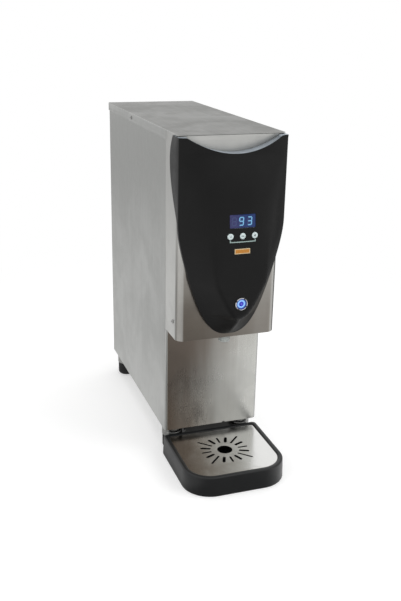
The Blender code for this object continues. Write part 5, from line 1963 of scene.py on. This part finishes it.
@dataclass
class RearFittings:
    """What comes through the rear wall: water inlet, cord gland and power switch."""

    threads: int = 6
    thread_start: float = 0.0036
    thread: Pair = (0.0060, 0.0068)
    inlet_bore: float = 0.0035
    inlet_shank: float = 0.0066
    inlet_flange: float = 0.0110
    flutes: int = 16
    flute_size: Pair = (0.0008, 0.0010)
    flute_radius: float = 0.0097
    gland_bore: float = 0.0045
    gland_shank: float = 0.0076
    gland_nut: float = 0.0099
    stand_off: float = 0.0003
    rocker_turn: float = -12.0
    rocker_thick: float = 0.0045
    rocker_tall: float = 0.010
    rocker_waist: float = 0.62
    mark_out: float = 0.6
    mark_levels: Pair = (-0.0003, 0.00012)

    def through(self, node: str) -> tuple[Spot, float, float]:
        """Where a node's axis meets the rear wall, and how far the node reaches in and out from there."""
        low, high, middle = around(node)
        return (middle.x, REAR_WALL, middle.z), low.y - REAR_WALL, high.y - REAR_WALL

    def inlet(self) -> None:
        """Turns the threaded water fitting."""
        spot, inner, reach = self.through("inlet_fitting")
        bore, shank, flange, off = self.inlet_bore, self.inlet_shank, self.inlet_flange, self.stand_off
        points = [(bore, inner, 0), (shank, inner, 0.0004), (shank, off, 0)]
        points += [(flange, off, 0.0003), (flange, 0.0028, 0.0005), (0.0064, 0.0028, 0)]
        root, crest = self.thread
        pitch = (reach - 0.0052) / self.threads
        for k in range(self.threads):
            start = self.thread_start + k * pitch
            points += [(root, start, 0.0001), (crest, start + pitch * 0.5, 0.0002)]
        points += [(root, reach - 0.0012, 0.0002), (0.0056, reach, 0.0004), (bore, reach, 0)]
        piece = Piece("inlet_threaded", Finishes.BRASS, "brass", stands_for=("inlet_fitting",))
        piece.turn(points, spot, steps=3)

    def gland(self) -> None:
        """Turns the cord gland and gives its nut flutes."""
        spot, inner, reach = self.through("cord_gland")
        bore, shank, nut, off = self.gland_bore, self.gland_shank, self.gland_nut, self.stand_off
        profile = [
            (bore, inner, 0), (shank, inner, 0.0004), (shank, off, 0), (nut, off, 0.0003),
            (nut, reach * 0.28, 0.0006), (0.0086, reach * 0.32, 0.0003), (0.0086, reach * 0.68, 0.0008),
            (0.0070, reach * 0.86, 0.0010), (0.0066, reach, 0.0006), (bore, reach, 0.0003),
        ]  # fmt: skip
        parts = [turned(filleted(profile), spot, Axis.BACK)]
        for k in range(self.flutes):
            flute = bar(self.flute_size, 0.0003, (reach * 0.06, reach * 0.25), 3)
            turn = Matrix.Rotation(2 * math.pi * k / self.flutes, 4, "Y")
            out = Matrix.Translation((self.flute_radius, 0, 0))
            parts.append(moved(flute, Matrix.Translation(spot) @ turn @ out @ Axis.BACK.value))
        piece = Piece("gland_fluted", Finishes.ABS, "dark_plastic", stands_for=("cord_gland",))
        piece.build(merged(parts))

    def switch(self) -> None:
        """Dresses the rocker switch and adds its generic on and off marks."""
        dress_node("switch_housing", Finishes.ABS, 0.0005)
        dress_node("power_rocker", Finishes.ROCKER, 0.0006, 30.0)
        middle = around("power_rocker")[2]
        pivot = Matrix.Translation((middle.x, REAR_WALL + self.stand_off, middle.z))
        tip = pivot @ Matrix.Rotation(math.radians(self.rocker_turn), 4, "X")
        thick, tall, waist, out = self.rocker_thick, self.rocker_tall, self.rocker_waist, self.mark_out
        lean = math.atan2(thick * (1 - waist), tall)
        near, far = self.mark_levels
        ring = [(0.0012, near), (0.0018, near), (0.0018, far), (0.0012, far)]
        off, on = turned(ring, (0, 0, 0), sides=32), bar((0.0007, 0.0036), 0.0002, self.mark_levels, 3)
        marks = []
        for side, shape in ((-1, off), (1, on)):
            spot = Matrix.Translation((0, thick * (waist + (1 - waist) * out), side * tall * out))
            marks.append(moved(shape, tip @ spot @ Matrix.Rotation(-math.pi / 2 - side * lean, 4, "X")))
        Piece("rocker_marks", Finishes.KEY, "key_white", "power_rocker").build(merged(marks))

    def build(self) -> None:
        """Builds the fittings."""
        self.inlet()
        self.gland()
        self.switch()


class Inside:
    """What the cabinet hides: tank, valves, tubes and boards, each with its finish."""

    def build(self) -> None:
        """Dresses the hidden nodes."""
        finishes: dict[Finish, tuple[str, ...]] = {
            Finishes.COLLAR: ("tank_shell", "tank_lid", "heating_element", "temperature_probe", "level_probe"),
            Finishes.PAN: ("tank_stand", "board_bracket"),
            Finishes.SEAL: ("tank_gasket",),
            Finishes.FOAM: ("insulation_jacket",),
            Finishes.BRASS: ("dispense_valve_body", "inlet_valve_body"),
            Finishes.ABS: ("dispense_coil", "inlet_coil", "limit_thermostat"),
            Finishes.TUBE: ("nozzle_tube", "outlet_tube", "vent_tube", "inlet_tube"),
            Finishes.BOARD: ("control_board",),
        }
        for finish, nodes in finishes.items():
            for node in nodes:
                dress_node(node, finish)


@dataclass(frozen=True)
class Lamp:
    """A soft square lamp that looks at the middle of the dispenser and isn't seen in mirrors."""

    name: str
    spot: Spot
    size: float
    power: float
    aim: Spot = (0.0, 0.0, 0.3)

    def build(self) -> None:
        """Hangs the lamp."""
        data = bpy.data.lights.new(self.name, "AREA")
        data.shape, data.size, data.energy = "SQUARE", self.size, self.power
        lamp = placed(self.name, data)
        lamp.visible_glossy = False
        look = Vector(self.aim) - Vector(self.spot)
        lamp.matrix_world = Matrix.Translation(self.spot) @ look.to_track_quat("-Z", "Y").to_matrix().to_4x4()


@dataclass
class Studio:
    """Pale floor, soft lights, white surroundings and the camera.

    What mirrors see is darker in places. In the world that is a screen in front and one to the right. On the floor it
    is a track ahead, lighter at its open left side, a board at the left, and the floor aside and behind. A pair of
    numbers is where such a place starts and where it is full.
    """

    camera_spot: Spot = (-0.4734, -1.3884, 0.7761)
    yaw: float = 19.572
    pitch: float = 19.758
    roll: float = 1.148
    focal: float = 48.52
    sensor: float = 36.0
    lamps: tuple[Lamp, ...] = (
        Lamp("key_lamp", (1.3, -1.0, 1.5), 1.4, 16.0),
        Lamp("fill_lamp", (-1.6, -0.6, 1.1), 1.4, 8.0),
        Lamp("top_lamp", (0.1, 0.5, 1.9), 1.6, 12.0),
    )
    ambient: float = 0.62
    mirrored_world: Colour = (0.82, 0.82, 0.82)
    screened_world: Colour = (0.55, 0.55, 0.55)
    world_screens: tuple[tuple[Spot, Pair], ...] = (
        ((-0.25, -0.96, 0.05), (0.60, 1.0)),
        ((0.95, 0.25, 0.05), (0.60, 0.92)),
    )
    floor_half: float = 6.0
    shadow_ends: Pair = (0.35, 1.1)
    paper: tuple[Colour, Colour] = ((0.72, 0.72, 0.72), (0.69, 0.69, 0.69))
    paper_size: float = 400.0
    lift: float = 0.40
    track_lean: float = 0.355
    track_right: Pair = (0.04, -0.08)
    track_left: Pair = (-0.60, -0.30)
    track_front: Pair = (-0.95, -0.65)
    track_dark: float = -0.78
    open_side: Pair = (-0.085, -0.115)
    open_front: Pair = (-0.38, -0.30)
    open_light: float = -0.45
    board_spot: Spot = (-0.80, 0.25, 0.0)
    board_edge: Pair = (0.45, 0.20)
    board_dark: float = 0.30
    aside: Pair = (0.15, 0.40)
    aside_dark: float = -0.80
    behind: Pair = (0.9, 2.6)
    behind_light: Pair = (0.80, 0.55)
    turns_behind: Pair = (0.02, -0.12)

    def camera(self) -> None:
        """Sets the camera where the photograph was taken from."""
        yaw, pitch, roll = (math.radians(angle) for angle in (self.yaw, self.pitch, self.roll))
        ahead = Vector((math.sin(yaw) * math.cos(pitch), math.cos(yaw) * math.cos(pitch), -math.sin(pitch)))
        level = Vector((math.cos(yaw), -math.sin(yaw), 0))
        above = level.cross(ahead)
        right = level * math.cos(roll) + above * math.sin(roll)
        up = above * math.cos(roll) - level * math.sin(roll)
        data = bpy.data.cameras.new("camera")
        data.lens, data.sensor_width, data.sensor_fit = self.focal, self.sensor, "AUTO"
        camera = placed("camera", data)
        turn = Matrix((right, up, -ahead)).transposed().to_4x4()
        camera.matrix_world = Matrix.Translation(self.camera_spot) @ turn
        bpy.context.scene.camera = camera

    def seen(self, graph: Graph) -> Socket:
        """Tells what the camera, a mirror or a glass sees from soft light.

        Args:
            graph: The graph that asks.

        Returns:
            1 for what is seen, and 0 for soft light.
        """
        path = graph.add("LightPath").outputs
        mirrored = graph.sum("MAXIMUM", path["Is Glossy Ray"], path["Is Transmission Ray"])
        return graph.sum("MAXIMUM", path["Is Camera Ray"], mirrored)

    def surroundings(self) -> None:
        """White where it is seen, with dark screens in front and to the right for mirrors, and even soft light."""
        world = bpy.data.worlds.new("surroundings")
        graph = Graph.on(world, "Generated")
        aims = [(graph.vector("DOT_PRODUCT", graph.where, way), reach) for way, reach in self.world_screens]
        screens = [graph.span(*aim) for aim in aims]
        glossy = graph.add("LightPath").outputs["Is Glossy Ray"]
        dim = graph.times(graph.sum("MAXIMUM", *screens), glossy)
        shade = graph.tint(dim, graph.tint(glossy, WHITE, self.mirrored_world), self.screened_world)
        bright = graph.add("Background", {"Color": shade, "Strength": 1.0}).outputs[0]
        soft = graph.add("Background", {"Color": WHITE, "Strength": self.ambient}).outputs[0]
        mixed = graph.add("MixShader", {0: self.seen(graph), 1: soft, 2: bright}).outputs[0]
        graph.add("OutputWorld", {"Surface": mixed})
        bpy.context.scene.world = world

    def mirrored_floor(self, graph: Graph, distance: Socket) -> Socket:
        """How light the floor is to a mirror.

        Args:
            graph: The floor's graph.
            distance: How far its points are from the dispenser.

        Returns:
            The level, from 0 to 1.
        """
        x, y, _ = graph.axes(graph.where)
        track = graph.shift(x, y, self.track_lean)
        opened = graph.times(graph.span(x, self.open_side), graph.span(y, self.open_front))
        screen = graph.times(
            graph.span(track, self.track_right),
            graph.span(track, self.track_left),
            graph.span(y, self.track_front),
            graph.shift(1.0, opened, self.open_light),
        )
        beside = graph.vector("DISTANCE", graph.where, self.board_spot)
        board = graph.span(beside, self.board_edge, (1.0, self.board_dark))
        ahead = graph.times(graph.shift(1.0, screen, self.track_dark), board)
        aside = graph.shift(1.0, graph.span(x, self.aside), self.aside_dark)
        behind = graph.times(aside, graph.span(distance, self.behind, self.behind_light), board)
        return graph.tint(graph.span(y, self.turns_behind), behind, ahead)

    def floor_material(self) -> bpy.types.Material:
        """Paper that keeps the shadow near the dispenser and is plain white beyond.

        Returns:
            The material.
        """
        material = bpy.data.materials.new("pale_floor")
        graph = Graph.on(material)
        distance = graph.vector("LENGTH", graph.where)
        mirrored = graph.add("LightPath").outputs["Is Glossy Ray"]
        far = graph.sum("MAXIMUM", graph.span(distance, self.shadow_ends), mirrored)
        shown = graph.tint(mirrored, WHITE, self.mirrored_floor(graph, distance))
        tone = graph.tint(graph.noise(self.paper_size, 2.0), *self.paper)
        seen = self.seen(graph)
        diffuse = graph.add("BsdfDiffuse", {"Color": tone}).outputs[0]
        lift = graph.add("Emission", {"Color": WHITE, "Strength": graph.times(seen, self.lift)}).outputs[0]
        near = graph.add("AddShader", {0: diffuse, 1: lift}).outputs[0]
        plain = graph.add("Emission", {"Color": shown, "Strength": 1.0}).outputs[0]
        mixed = graph.add("MixShader", {0: graph.times(far, seen), 1: near, 2: plain}).outputs[0]
        graph.add("OutputMaterial", {"Surface": mixed})
        return material

    def floor(self) -> None:
        """Lays the floor."""
        bm = bmesh.new()
        bmesh.ops.create_grid(bm, x_segments=8, y_segments=8, size=self.floor_half)
        mesh = meshed(bm, "floor")
        mesh.materials.append(self.floor_material())
        placed("floor", mesh)

    def build(self) -> None:
        """Sets the studio up."""
        self.camera()
        self.surroundings()
        self.floor()
        for lamp in self.lamps:
            lamp.build()
        bpy.context.scene.view_settings.view_transform = "Standard"


def main() -> None:
    """Builds the studio and every sub-assembly."""
    logging.basicConfig(level=logging.INFO, format="%(name)s: %(message)s")
    Studio().build()
    display = Display()
    shield = Shield(display)
    legs = [Leg(f"{end}_{side}") for end in ("front", "rear") for side in ("left", "right")]
    rest = [display, Keypad(shield), PushButton(), Outlet(), DripTray(), *legs, RearFittings(), Inside()]
    for assembly in [Casing(), shield, *rest]:
        assembly.build()
        LOG.info("%s done", type(assembly).__name__)


if __name__ == "__main__":
    main()
